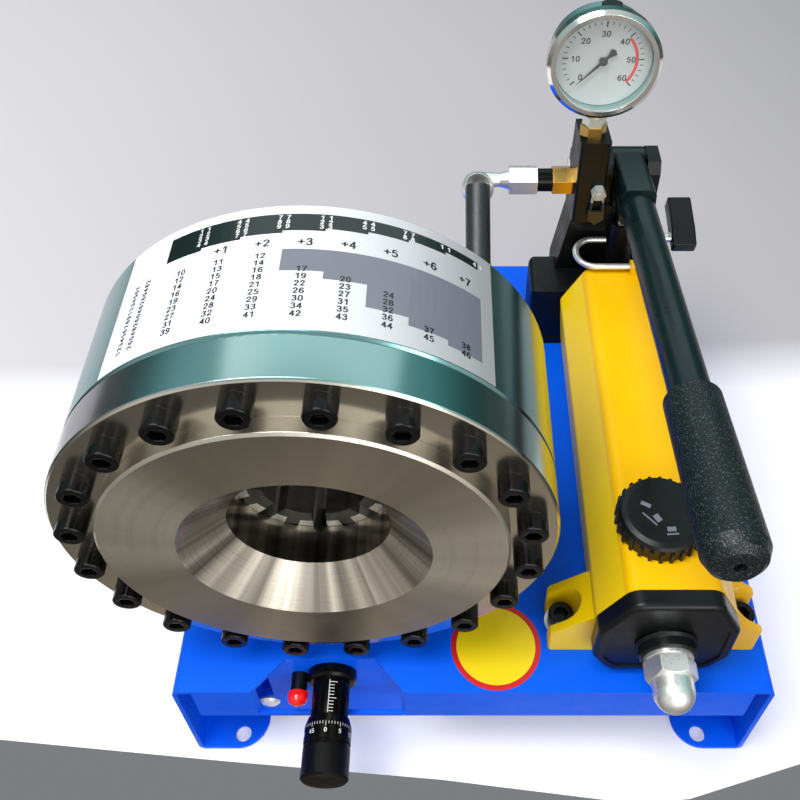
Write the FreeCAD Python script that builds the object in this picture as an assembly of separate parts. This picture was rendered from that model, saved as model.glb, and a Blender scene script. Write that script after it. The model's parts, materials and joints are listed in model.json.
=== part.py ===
import FreeCAD, Part
import math
import os

# Bench hose crimping machine with a hand pump: +X right, +Y to the rear, +Z up, in millimetres.
# The origin lies on the bench, at the centre of the four foot bolts.

# Base: one bent steel sheet
base_width = 373.0
base_depth = 374.0
base_height = 99.0
sheet = 3.0
bend_radius = 5.0
foot_width = 46.0
foot_corner = 20.0
foot_bolt_x = 315.0
foot_bolt_y = 356.0
foot_bolt_hole = 11.0
lip_height = 38.0
lip_relief = 7.0
notch_front_width = 97.0
notch_rear_width = 57.0
notch_depth = 21.0
notch_strip = 3.0

# Crimping head: everything on one horizontal axis along Y, distances measured back from its front face
head_x = -90.0
head_front = -171.0
head_radius = 133.0
head_lift = 8.5
head_z = base_height + head_lift + head_radius
disc_radius = head_radius - 26.0
disc_proud = 9.9
flange_thickness = 27.0
edge_chamfer = 1.4
mouth_radius = 66.3
mouth_depth = 18.9
throat_radius = 43.6
disc_rear = 41.7
disc_shoulder = 4.7
cylinder_bore = head_radius - 21.0
body_length = 87.0
rear_wall = 20.0
flange_screw_count = 20
flange_screw_circle = head_radius - 14.2

# Dies and the ring piston that closes them
die_count = 8
die_gap = 8.0
die_travel = 10.0
piston_stroke = 28.0
die_length = 56.0
die_outer_front = 84.0
die_insert_seat = 38.0
die_open_radius = 30.0
die_stem_width = 8.0
die_stem_reach = 14.0
running_gap = 0.3
fit_clearance = 0.05
piston_head_length = 28.0
piston_rest_gap = 4.0
tail_radius = head_radius - 57.0
tail_bore = 54.0
tail_end = 166.0
gland_radius = tail_radius + 12.0
gland_thickness = 12.0
gland_screw_count = 8
gland_screw_circle = tail_radius + 6.0

# Saddle under the head
saddle_width = 96.0
saddle_length = 70.0
saddle_front = 41.0
saddle_rise = 22.0
saddle_screw_x = 64.0
saddle_screw_y = 40.0

# Setting micrometer, its bracket and the lamp beside it
micrometer_z = base_height - 21.0
micrometer_front = notch_depth - base_depth / 2
bracket_left = 43.0
bracket_right = 50.0
bracket_drop = 86.0
bracket_ear_left = 55.0
bracket_ear_top = base_height - 57.0
bracket_foot = 24.0
collar_radius = 15.6
collar_length = 7.4
collar_chamfer = 1.6
sleeve_radius = 11.7
sleeve_length = 35.0
thimble_radius = 14.6
thimble_length = 35.8
thimble_gap = 30.0
thimble_skirt = 5.0
thimble_end_wall = 5.5
spindle_radius = 4.0
spindle_reach = 33.0
micrometer_travel = 10.0
micrometer_nut_flats = 27.0
micrometer_nut_length = 6.0
lamp_offset = -21.4
lamp_z = base_height - 24.0
lamp_stem_radius = 4.0
lamp_stem_length = 12.0
lamp_socket_radius = 5.2
lamp_socket_length = 12.0
lamp_lens_radius = 6.5
lamp_lens_length = 8.0
stud_offset = -46.5
stud_z = base_height - 67.0
stud_radius = 3.0
stud_head_radius = 6.9
stud_head_height = 3.2

# Stroke feeler carried by the piston
feeler_thickness = 6.0
feeler_width = 20.0
feeler_rod_radius = 4.0
feeler_drop = 12.0

# Hand pump
pump_x = 113.0
tank_front = -165.0
tank_rear = 93.0
tank_top = base_height + 91.5
tank_bottom = base_height + 6.0
tank_half_width = 42.0
tank_half_top = 25.5
tank_shoulder = base_height + 59.0
tank_chine = base_height + 14.0
tank_half_chine = 38.0
tank_half_bottom = 32.0
ear_half_width = 65.5
ear_front = -160.0
ear_length = 31.0
ear_floor = 7.0
ear_wall = 23.6
ear_rise = 21.0
ear_slot_width = 12.0
ear_screw_inset = 8.3
end_cap_thickness = 11.0
cap_chine = base_height + 25.0
cap_half_bottom = 31.0
end_boss_radius = 17.0
end_boss_length = 8.0
tie_rod_radius = 8.0
tie_rod_play = 0.5
tie_rod_z = base_height + 44.0
end_nut_flats = 27.0
end_nut_hex = 11.5
end_nut_dome_radius = 12.2
end_nut_barrel = 6.3
end_flange_radius = 14.5
end_flange_thickness = 2.0
filler_x = 109.0
filler_y = -123.0
filler_radius = 26.5
filler_height = 13.0
filler_teeth = 26
filler_neck_radius = 14.0
filler_neck_depth = 9.0

# Pump head casting
head_block_left = 49.0
head_block_right = 159.0
head_block_front = 97.0
head_block_rear = 136.0
head_block_top = base_height + 61.0
head_screw_inset = 12.0
column_front = 122.0
column_rear = 152.0
column_x = 108.0
column_half_bottom = 40.0
column_half_top = 29.0
column_top = base_height + 127.0
valve_left = 74.0
valve_right = 95.0
valve_front = 101.0
valve_rear = 136.0
valve_bottom = base_height + 129.0
valve_top = base_height + 198.0
valve_screw_x = 90.0
valve_screw_z = base_height + 159.0
seal_half_width = 5.8
seal_drop = 29.0
seal_height = 12.0
seal_thickness = 2.4
seal_wire_radius = 0.9
cheek_thickness = 9.5
cheek_top = base_height + 163.0
cheek_front = 124.0
cheek_rear = 156.0
cheek_bevel = 9.0
barrel_radius = 10.5
barrel_top = base_height + 115.0

# Lever
lever_x = 116.3
pivot_y = 142.0
pivot_z = base_height + 147.5
lever_rise = 7.8
lever_range = 45.0
pivot_pin_radius = 6.0
boss_radius = 15.0
socket_height = 29.0
socket_end = 56.0
socket_width = 24.0
socket_bore_depth = 20.0
socket_corner = 5.0
tube_radius = 12.0
tube_wall = 2.0
tube_end = 338.0
grip_start = 244.0
grip_end = 352.0
grip_rear_radius = 16.2
grip_front_radius = 16.9
crank_arm = 24.0
crank_pin_radius = 4.0
plunger_radius = 7.0
plunger_eye_width = 11.0
plunger_eye_depth = 17.0
plunger_eye_gap = 0.4

# Release valve
valve_stem_y = 130.0
valve_stem_z = base_height + 87.0
valve_stem_radius = 3.6
valve_boss_radius = 8.0
valve_boss_end = 150.5
knob_width = 18.5
knob_length = 44.0
knob_height = 13.0
knob_heel = 9.0
knob_fold = 14.0
knob_nose = 3.0
knob_rib = 5.5
knob_rise = 13.0
knob_x = 158.0

# Hold-down wire
wire_radius = 2.3
wire_y = 88.0
wire_z = base_height + 97.0
wire_reach = 29.0
wire_bend = 13.5
wire_left = 80.5
wire_short_end = 104.5
wire_long_end = 128.0
wire_lug_width = 9.0

# Pressure gauge
gauge_x = 83.0
gauge_stem_y = 113.0
gauge_lean = 8.0
gauge_height = 58.0
bezel_radius = 36.5
case_radius = 33.0
case_front = -18.0
case_depth = 26.0
case_wall = 1.5
bezel_depth = 8.0
window_radius = 31.0
dial_setback = 6.0
adapter_radius = 8.5
adapter_height = 8.5
stem_flats = 14.0
stem_height = 7.0
pointer_length = 23.0
pointer_tail = 9.0
plug_radius = 6.5

# Outlet fittings and the pressure hose
outlet_y = 119.0
outlet_z = base_height + 153.7
outlet_brass = 15.0
outlet_brass_radius = 9.8
outlet_collar = 10.8
outlet_collar_radius = 8.3
outlet_nut = 20.0
outlet_nut_flats = 19.0
elbow_neck = 13.0
elbow_neck_radius = 5.0
elbow_radius = 12.0
elbow_leg = 6.0
elbow_drop = 36.0
elbow_seat = 6.5
hose_drop = 28.0
hose_first_run = 38.0
hose_diameter = 17.5
port_angle = -20.243
port_circle = cylinder_bore - 10.0
port_neck = 4.0
port_hex = 12.0
port_flats = 24.0
port_ferrule = 26.0
port_ferrule_radius = 11.5

# Socket-head screw proportions, by thread radius
screw_radius = 5.0
screw_head_radius = 8.0
screw_head_height = 10.0
screw_socket_flats = 8.0
screw_socket_depth = 5.0
screw_hole_radius = 5.5
small_screw_radius = 2.5
small_head_radius = 4.3
small_head_height = 5.0
washer_radius = 10.0
washer_thickness = 2.0
washer_play = 0.3
saddle_thread = 9.0
plain_nut_flats = 17.0
plain_nut_height = 8.0
screw_stand_out = 3.0

UP = FreeCAD.Vector(0, 0, 1)
RIGHT = FreeCAD.Vector(1, 0, 0)
REAR = FreeCAD.Vector(0, 1, 0)
FRONT = FreeCAD.Vector(0, -1, 0)


def at(x, y, z):
    return FreeCAD.Vector(x, y, z)


def block(x_range, y_range, z_range):
    size = [high - low for low, high in (x_range, y_range, z_range)]
    return Part.makeBox(*size, at(x_range[0], y_range[0], z_range[0]))


def rod(radius, start, end):
    """A round bar between two points."""
    way = end - start
    return Part.makeCylinder(radius, way.Length, start, way)


def tube(outer, inner, start, end):
    return rod(outer, start, end).cut(rod(inner, start, end))


def turned(profile, origin, direction):
    """A solid of revolution: profile points are (radius, distance along direction from origin)."""
    points = [at(radius, 0, along) for radius, along in profile]
    face = Part.Face(Part.makePolygon(points + points[:1]))
    solid = face.revolve(at(0, 0, 0), UP, 360)
    solid.Placement = FreeCAD.Placement(origin, FreeCAD.Rotation(UP, direction))
    return solid


def prism(points, extrusion):
    return Part.Face(Part.makePolygon(points + points[:1])).extrude(extrusion)


def hex_bar(flats, start, end):
    """A hexagonal bar between two points, measured across its flats."""
    way = end - start
    corner = flats / math.sqrt(3)
    turns = [math.radians(60 * k) for k in range(6)]
    bar = prism([at(corner * math.cos(a), corner * math.sin(a), 0) for a in turns], at(0, 0, way.Length))
    bar.Placement = FreeCAD.Placement(start, FreeCAD.Rotation(UP, way))
    return bar


def rounded(shape, radius, chosen):
    """The shape with a fillet on each edge for which chosen(edge) is true."""
    edges = [edge for edge in shape.Edges if chosen(edge)]
    return shape.makeFillet(radius, edges)


def along(edge, axis):
    """Whether a straight edge runs along the given axis."""
    if edge.Curve.TypeId != "Part::GeomLine":
        return False
    way = edge.Vertexes[1].Point - edge.Vertexes[0].Point
    return way.Length > 0 and abs(way.normalize().dot(axis)) > 0.999


def middle(edge):
    return edge.CenterOfMass


def cap_screw(top, direction, length, radius=screw_radius, head=screw_head_radius,
              height=screw_head_height):
    """A socket-head screw: top is the centre of its head's outer end, direction points to its tip."""
    seat = top + direction * height
    flats = screw_socket_flats * radius / screw_radius
    depth = screw_socket_depth * radius / screw_radius
    profile = [(0, 0), (head - 0.6, 0), (head, 0.6), (head, height), (radius, height),
               (radius, height + length), (0, height + length)]
    screw = turned(profile, top, direction)
    return screw.cut(hex_bar(flats, top, top + direction * depth))


def on_head(radius, angle, back):
    """A point of the crimping head: distance from its axis, angle from +X, distance behind its face."""
    turn = math.radians(angle)
    return at(head_x + radius * math.cos(turn), head_front + back, head_z + radius * math.sin(turn))


def on_lever(distance, lift=0.0, side=0.0):
    """A point of the lever at rest: distance from the pivot towards the grip, lift square to it."""
    rise = math.radians(lever_rise)
    return at(lever_x + side,
              pivot_y - distance * math.cos(rise) + lift * math.sin(rise),
              pivot_z + distance * math.sin(rise) + lift * math.cos(rise))


def save(name, *solids):
    shape = solids[0] if len(solids) == 1 else Part.makeCompound(list(solids))
    shape.exportStep("parts/" + name + ".step")


# Values that follow from the dimensions above
flange_rear = disc_proud + flange_thickness
body_rear = flange_rear + body_length
wall_front = body_rear - rear_wall
piston_rear = wall_front - piston_rest_gap
piston_front = piston_rear - piston_head_length
die_front = disc_rear + running_gap
die_rear = die_front + die_length
cone_slope = die_travel / piston_stroke
gland_rear = body_rear + gland_thickness
plate_under = base_height - sheet
thread_depth = 14.0
micrometer_x = head_x
spindle_tip = micrometer_front + sheet + spindle_reach
lever_way = (on_lever(1) - on_lever(0)).normalize()
crank_pin = at(lever_x, pivot_y - crank_arm * math.cos(math.radians(lever_range / 2)),
               pivot_z - crank_arm * math.sin(math.radians(lever_range / 2)))


def saddle_screw_places():
    centre_y = head_front + saddle_front + saddle_length / 2
    return [(head_x + sx * saddle_screw_x / 2, centre_y + sy * saddle_screw_y / 2)
            for sx in (-1, 1) for sy in (-1, 1)]


def ear_screw_places():
    offset = ear_half_width - ear_screw_inset
    y = ear_front + ear_length / 2
    return [(pump_x - offset, y), (pump_x + offset, y)]


def block_screw_places():
    y = (head_block_front + head_block_rear) / 2
    return [(head_block_left + head_screw_inset, y), (head_block_right - head_screw_inset, y)]


def make_base_plate():
    half = base_width / 2
    front = -base_depth / 2
    outline = [(-half + foot_width, 0), (-half, 0), (-half, base_height), (half, base_height), (half, 0),
               (half - foot_width, 0), (half - foot_width, sheet), (half - sheet, sheet),
               (half - sheet, plate_under), (-half + sheet, plate_under), (-half + sheet, sheet),
               (-half + foot_width, sheet)]
    plate = prism([at(x, front, z) for x, z in outline], at(0, base_depth, 0))

    def outer_bend(edge):
        place = middle(edge)
        return along(edge, REAR) and abs(abs(place.x) - half) < 0.01

    def inner_bend(edge):
        place = middle(edge)
        return along(edge, REAR) and abs(abs(place.x) - half + sheet) < 0.01

    def foot_end(edge):
        place = middle(edge)
        return along(edge, UP) and abs(abs(place.x) - half + foot_width) < 0.01

    plate = rounded(plate, bend_radius, outer_bend)
    plate = rounded(plate, bend_radius - sheet, inner_bend)
    plate = rounded(plate, foot_corner, foot_end)
    lip_half = half - bend_radius - lip_relief
    for y in (front, -front - sheet):
        lip = block((-lip_half, lip_half), (y, y + sheet), (base_height - lip_height, base_height))
        plate = plate.fuse(lip)
    wide, narrow = notch_front_width / 2, notch_rear_width / 2
    notch = prism([at(head_x - wide, front - 1, 0), at(head_x + wide, front - 1, 0),
                   at(head_x + narrow, front + notch_depth, 0), at(head_x - narrow, front + notch_depth, 0)],
                  at(0, 0, lip_height + 1))
    notch.translate(at(0, 0, base_height - lip_height + notch_strip))
    plate = plate.cut(notch)
    slot_front = head_front + tail_end - piston_stroke - 3
    slot_rear = head_front + tail_end + feeler_thickness + 3
    slot_half = feeler_width / 2 + 2
    plate = plate.cut(block((head_x - slot_half, head_x + slot_half), (slot_front, slot_rear),
                            (plate_under - 1, base_height + 1)))
    for x in (-foot_bolt_x / 2, foot_bolt_x / 2):
        for y in (-foot_bolt_y / 2, foot_bolt_y / 2):
            plate = plate.cut(rod(foot_bolt_hole / 2, at(x, y, -1), at(x, y, sheet + 1)))
    for x, y in saddle_screw_places() + ear_screw_places() + block_screw_places():
        plate = plate.cut(rod(screw_hole_radius, at(x, y, plate_under - 1), at(x, y, base_height + 1)))
    save("base_plate", plate.removeSplitter())


def make_saddle():
    start = head_front + saddle_front
    half = saddle_width / 2
    saddle = block((head_x - half, head_x + half), (start, start + saddle_length),
                   (base_height, base_height + saddle_rise))
    saddle = saddle.cut(rod(head_radius, on_head(0, 0, 0), on_head(0, 0, body_rear)))
    for x, y in saddle_screw_places():
        saddle = saddle.cut(rod(screw_radius, at(x, y, base_height - 1), at(x, y, base_height + saddle_thread + 1)))
    save("head_saddle", saddle)


def make_mounting_screws():
    screws = []
    for x, y in saddle_screw_places():
        screws.append(cap_screw(at(x, y, plate_under - screw_head_height), UP, sheet + saddle_thread))
    for x, y in block_screw_places():
        screws.append(cap_screw(at(x, y, plate_under - screw_head_height), UP, sheet + thread_depth))
    for x, y in ear_screw_places():
        top = base_height + ear_floor + washer_thickness + screw_head_height
        grip = ear_floor + washer_thickness + sheet + plain_nut_height
        screws.append(cap_screw(at(x, y, top), -UP, grip + screw_stand_out))
    save("mounting_screws", *screws)


def make_nuts_and_washers():
    low = base_height + ear_floor
    pieces = [tube(washer_radius, screw_radius + washer_play, at(x, y, low), at(x, y, low + washer_thickness))
              for x, y in ear_screw_places()]
    for x, y in ear_screw_places():
        seat = at(x, y, plate_under)
        nut = hex_bar(plain_nut_flats, seat - UP * plain_nut_height, seat)
        pieces.append(nut.cut(rod(screw_radius, seat - UP * (plain_nut_height + 1), seat + UP)))
    origin = at(micrometer_x, micrometer_front, micrometer_z)
    nut_rear = sheet + micrometer_nut_length
    nut = hex_bar(micrometer_nut_flats, origin + REAR * sheet, origin + REAR * nut_rear)
    pieces.append(nut.cut(rod(sleeve_radius - fit_clearance, origin, origin + REAR * (nut_rear + 1))))
    stud = at(micrometer_x + stud_offset, micrometer_front, stud_z)
    head = turned([(0, 0), (stud_head_radius, 0), (stud_head_radius, stud_head_height * 0.4),
                   (stud_head_radius * 0.75, stud_head_height * 0.85), (0, stud_head_height)], stud, FRONT)
    pieces.append(head.fuse(rod(stud_radius, stud, stud + REAR * (sheet + 4))))
    save("nuts_and_washers", *pieces)


def flange_screw_angles():
    step = 360 / flange_screw_count
    return [step * (k + 0.5) for k in range(flange_screw_count)]


def make_flange():
    profile = [(disc_radius + fit_clearance, disc_proud), (head_radius - edge_chamfer, disc_proud),
               (head_radius, disc_proud + edge_chamfer), (head_radius, flange_rear - edge_chamfer),
               (head_radius - edge_chamfer, flange_rear), (disc_radius + fit_clearance, flange_rear)]
    flange = turned(profile, on_head(0, 0, 0), REAR)
    screws = []
    for angle in flange_screw_angles():
        start = on_head(flange_screw_circle, angle, disc_proud - 1)
        end = on_head(flange_screw_circle, angle, flange_rear + 1)
        flange = flange.cut(rod(screw_hole_radius, start, end))
        top = on_head(flange_screw_circle, angle, disc_proud - screw_head_height)
        screws.append(cap_screw(top, REAR, flange_thickness + thread_depth - 1))
    save("front_flange", flange)
    save("flange_screws", *screws)


def make_cone_plate():
    shoulder = cylinder_bore - running_gap
    profile = [(mouth_radius, 0), (disc_radius - edge_chamfer, 0), (disc_radius, edge_chamfer),
               (disc_radius, flange_rear), (shoulder, flange_rear), (shoulder, disc_rear),
               (throat_radius, disc_rear), (throat_radius, mouth_depth)]
    save("cone_plate", turned(profile, on_head(0, 0, 0), REAR))


def make_cylinder():
    profile = [(cylinder_bore, flange_rear), (head_radius - edge_chamfer, flange_rear),
               (head_radius, flange_rear + edge_chamfer), (head_radius, body_rear - edge_chamfer),
               (head_radius - edge_chamfer, body_rear), (tail_radius, body_rear),
               (tail_radius, wall_front), (cylinder_bore, wall_front)]
    cylinder = turned(profile, on_head(0, 0, 0), REAR)
    for angle in flange_screw_angles():
        start = on_head(flange_screw_circle, angle, flange_rear - 1)
        end = on_head(flange_screw_circle, angle, flange_rear + thread_depth)
        cylinder = cylinder.cut(rod(screw_radius, start, end))
    for angle in gland_screw_angles():
        start = on_head(gland_screw_circle, angle, body_rear - 10)
        cylinder = cylinder.cut(rod(small_screw_radius, start, on_head(gland_screw_circle, angle, body_rear + 1)))
    port = rod(5, on_head(port_circle, port_angle, wall_front - 1), on_head(port_circle, port_angle, body_rear + 1))
    save("head_cylinder", cylinder.cut(port))


def gland_screw_angles():
    step = 360 / gland_screw_count
    return [step * (k + 0.5) for k in range(gland_screw_count)]


def make_gland():
    profile = [(tail_radius, body_rear), (gland_radius, body_rear), (gland_radius, gland_rear - 2),
               (gland_radius - 2, gland_rear), (tail_radius, gland_rear)]
    gland = turned(profile, on_head(0, 0, 0), REAR)
    screws = []
    for angle in gland_screw_angles():
        start = on_head(gland_screw_circle, angle, body_rear - 1)
        gland = gland.cut(rod(small_screw_radius, start, on_head(gland_screw_circle, angle, gland_rear + 1)))
        top = on_head(gland_screw_circle, angle, gland_rear + small_head_height)
        screws.append(cap_screw(top, FRONT, gland_thickness + 9, small_screw_radius,
                                small_head_radius, small_head_height))
    save("tail_gland", gland)
    save("gland_screws", *screws)


def make_piston():
    cone_front = die_outer_front - (piston_front - die_front) * cone_slope + running_gap
    cone_end = piston_front + (cone_front - tail_bore) / cone_slope
    head = cylinder_bore - fit_clearance
    tail = tail_radius - fit_clearance
    profile = [(cone_front, piston_front), (head - 1, piston_front), (head, piston_front + 1),
               (head, piston_rear), (tail, piston_rear), (tail, tail_end), (tail_bore, tail_end),
               (tail_bore, cone_end)]
    save("ring_piston", turned(profile, on_head(0, 0, 0), REAR))


def make_feeler():
    start, end = tail_end, tail_end + feeler_thickness
    plate = tube(tail_radius - 1, tail_bore + 1, on_head(0, 0, start), on_head(0, 0, end))
    half = feeler_width / 2
    top = head_z - tail_bore - 6
    arm = block((head_x - half, head_x + half), (head_front + start, head_front + end),
                (micrometer_z - feeler_drop, top))
    rod_front = spindle_tip + micrometer_travel + piston_stroke + running_gap
    probe = rod(feeler_rod_radius, at(micrometer_x, rod_front, micrometer_z),
                at(micrometer_x, head_front + start + 1, micrometer_z))
    save("stroke_feeler", plate.fuse([arm, probe]).removeSplitter())


def wedge(angle, inset):
    """The sector that one die may fill: its two flat sides stand inset from the sector's borders."""
    half_turn = 180 / die_count
    tip = on_head(inset / math.sin(math.radians(half_turn)), angle, die_front - 1)
    reach = 1.6 * die_outer_front
    corners = [tip]
    for side in (-half_turn, half_turn):
        turn = math.radians(angle + side)
        corners.append(tip + at(reach * math.cos(turn), 0, reach * math.sin(turn)))
    return prism(corners, at(0, die_length + 2, 0))


def make_dies():
    """Each die's round faces are struck about the place that its axis takes when the dies are shut."""
    outer_front = die_outer_front - die_travel
    outer_rear = outer_front - die_length * cone_slope
    inner = die_open_radius - die_travel
    for k in range(die_count):
        angle = 360 / die_count * (k + 0.5)
        out = on_head(1, angle, 0) - on_head(0, 0, 0)
        shifted = on_head(die_travel, angle, 0)
        seat = die_insert_seat - die_travel
        ring = turned([(seat, die_front), (outer_front, die_front), (outer_rear, die_rear), (seat, die_rear)],
                      shifted, REAR)
        sector = wedge(angle, die_gap / 2)
        stem_end = die_insert_seat + die_stem_reach
        across = out.cross(REAR)

        def key(width, low, high):
            start = on_head(0, 0, die_front) + out * low - across * (width / 2)
            corners = [start, start + across * width, start + across * width + out * (high - low),
                       start + out * (high - low)]
            return prism(corners, REAR * die_length)

        master = ring.common(sector).cut(key(die_stem_width, 0, stem_end))
        shoe = turned([(inner, die_front), (seat, die_front), (seat, die_rear), (inner, die_rear)], shifted, REAR)
        insert = shoe.common(sector).fuse(key(die_stem_width - 2 * fit_clearance, die_insert_seat - 3, stem_end))
        save(f"master_die_{k + 1}", master)
        save(f"die_insert_{k + 1}", insert.removeSplitter())


def make_bracket():
    y = micrometer_front
    left, right = micrometer_x - bracket_left, micrometer_x + bracket_right
    bottom = plate_under - bracket_drop
    ear_left = micrometer_x - bracket_ear_left
    corners = [at(left, y, plate_under), at(right, y, plate_under), at(right, y, bottom), at(ear_left, y, bottom),
               at(ear_left, y, bracket_ear_top - 8), at(left, y, bracket_ear_top)]
    bracket = prism(corners, at(0, sheet, 0))
    bracket = bracket.fuse(block((left, right), (y, y + bracket_foot), (plate_under - sheet, plate_under)))
    nut_room = micrometer_nut_flats / math.sqrt(3) + 1
    bracket = bracket.cut(block((micrometer_x - nut_room, micrometer_x + nut_room),
                                (y + sheet, y + bracket_foot + 1), (plate_under - sheet - 1, plate_under + 1)))
    for x, z, radius in ((micrometer_x, micrometer_z, sleeve_radius),
                         (micrometer_x + lamp_offset, lamp_z, lamp_stem_radius),
                         (micrometer_x + stud_offset, stud_z, stud_radius)):
        bracket = bracket.cut(rod(radius, at(x, y - 1, z), at(x, y + sheet + 1, z)))
    save("micrometer_bracket", bracket.removeSplitter())


def make_micrometer():
    origin = at(micrometer_x, micrometer_front, micrometer_z)
    bore = spindle_radius + fit_clearance
    nut_end = sheet + 8
    profile = [(bore, -nut_end), (sleeve_radius - fit_clearance, -nut_end), (sleeve_radius - fit_clearance, 0),
               (collar_radius, 0), (collar_radius, collar_length - collar_chamfer),
               (collar_radius - collar_chamfer, collar_length),
               (sleeve_radius, collar_length), (sleeve_radius, collar_length + sleeve_length),
               (bore, collar_length + sleeve_length)]
    save("micrometer_sleeve", turned(profile, origin, FRONT))
    thimble_front = thimble_gap + thimble_length
    spindle = rod(spindle_radius, at(micrometer_x, spindle_tip, micrometer_z),
                  origin + FRONT * (thimble_front - thimble_end_wall - 0.5))
    save("micrometer_spindle", spindle)
    inner = sleeve_radius + running_gap
    groove = thimble_gap + thimble_length * 0.42
    profile = [(inner, thimble_gap), (inner + 0.9, thimble_gap), (thimble_radius, thimble_gap + thimble_skirt),
               (thimble_radius, groove), (thimble_radius - 0.8, groove + 0.6), (thimble_radius - 0.8, groove + 1.8),
               (thimble_radius, groove + 2.4), (thimble_radius, thimble_front - 1.2),
               (thimble_radius - 1.2, thimble_front), (0, thimble_front),
               (0, thimble_front - thimble_end_wall), (inner, thimble_front - thimble_end_wall)]
    save("micrometer_thimble", turned(profile, origin, FRONT))


def make_lamp():
    origin = at(micrometer_x + lamp_offset, micrometer_front, lamp_z)
    stem = lamp_stem_radius - fit_clearance
    socket = turned([(0, -lamp_stem_length), (stem, -lamp_stem_length), (stem, 0), (lamp_socket_radius, 0),
                     (lamp_socket_radius, lamp_socket_length), (0, lamp_socket_length)], origin, FRONT)
    save("lamp_socket", socket)
    radius = lamp_lens_radius
    face = origin + FRONT * lamp_socket_length
    dome = turned([(0, 0), (radius, 0), (radius, lamp_lens_length * 0.45), (radius * 0.87, lamp_lens_length * 0.75),
                   (radius * 0.5, lamp_lens_length * 0.95), (0, lamp_lens_length)], face, FRONT)
    save("lamp_lens", dome)


def make_tank():
    half_outline = [(tank_half_top, tank_top), (tank_half_width, tank_shoulder), (tank_half_chine, tank_chine),
                    (tank_half_bottom, tank_bottom)]
    outline = half_outline + [(-x, z) for x, z in reversed(half_outline)]
    tank = prism([at(pump_x + x, tank_front, z) for x, z in outline], at(0, tank_rear - tank_front, 0))
    tank = rounded(tank, 7, lambda edge: along(edge, REAR))
    tank = rounded(tank, 3, lambda edge: abs(middle(edge).y - tank_rear) < 0.01)
    inner = tank_half_bottom
    top = base_height + ear_wall
    for side in (-1, 1):
        outer = ear_half_width
        corners = [(inner, base_height), (outer, base_height), (outer, top),
                   (tank_half_width - 1, top + ear_rise), (inner, top + ear_rise)]
        ear = prism([at(pump_x + side * x, ear_front, z) for x, z in corners], at(0, ear_length, 0))
        ear = rounded(ear, 2.5, lambda edge: along(edge, UP) and abs(middle(edge).x - pump_x) > outer - 1)
        tank = tank.fuse(ear)
    tank = tank.fuse(block((pump_x - inner - 1, pump_x + inner + 1), (ear_front, ear_front + ear_length),
                           (base_height, tank_bottom + 1)))
    floor = base_height + ear_floor
    for side, (x, y) in zip((-1, 1), ear_screw_places()):
        outer = pump_x + side * (ear_half_width + 1)
        room = washer_radius + 0.6
        pocket_top = top + ear_rise
        tank = tank.cut(rod(room, at(x, y, floor), at(x, y, pocket_top)))
        tank = tank.cut(block((min(x, outer), max(x, outer)), (y - room, y + room), (floor, pocket_top)))
        tank = tank.cut(block((min(x, outer), max(x, outer)), (y - ear_slot_width / 2, y + ear_slot_width / 2),
                              (base_height - 1, floor + 1)))
        tank = tank.cut(rod(ear_slot_width / 2, at(x, y, base_height - 1), at(x, y, floor + 1)))
    neck = rod(filler_neck_radius, at(filler_x, filler_y, tank_top - filler_neck_depth),
               at(filler_x, filler_y, tank_top + 1))
    tie = rod(tie_rod_radius + tie_rod_play, at(pump_x, tank_front - 1, tie_rod_z),
              at(pump_x, tank_rear + 1, tie_rod_z))
    lug_low = wire_long_end - wire_lug_width
    lug = block((lug_low, wire_long_end + 1), (wire_y - 5, tank_rear - 1), (tank_top - 8, wire_z + 4.5))
    lug = rounded(lug, 2.5, lambda edge: along(edge, RIGHT) and middle(edge).z > wire_z)
    bore = rod(wire_radius + fit_clearance, at(lug_low - 1, wire_y, wire_z), at(wire_long_end + 2, wire_y, wire_z))
    tank = tank.fuse(lug).cut(bore)
    save("pump_tank", tank.cut(neck).cut(tie).removeSplitter())


def cap_outline(inset):
    """The end cap's outline in X and Z, drawn in from the tank's own outline by inset."""
    top, bottom = tank_top - inset, tank_bottom + inset
    return [(-tank_half_top + inset * 0.4, top), (tank_half_top - inset * 0.4, top),
            (tank_half_width - inset, tank_shoulder), (tank_half_width - inset, cap_chine),
            (cap_half_bottom - inset * 0.6, bottom), (-cap_half_bottom + inset * 0.6, bottom),
            (-tank_half_width + inset, cap_chine), (-tank_half_width + inset, tank_shoulder)]


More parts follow.
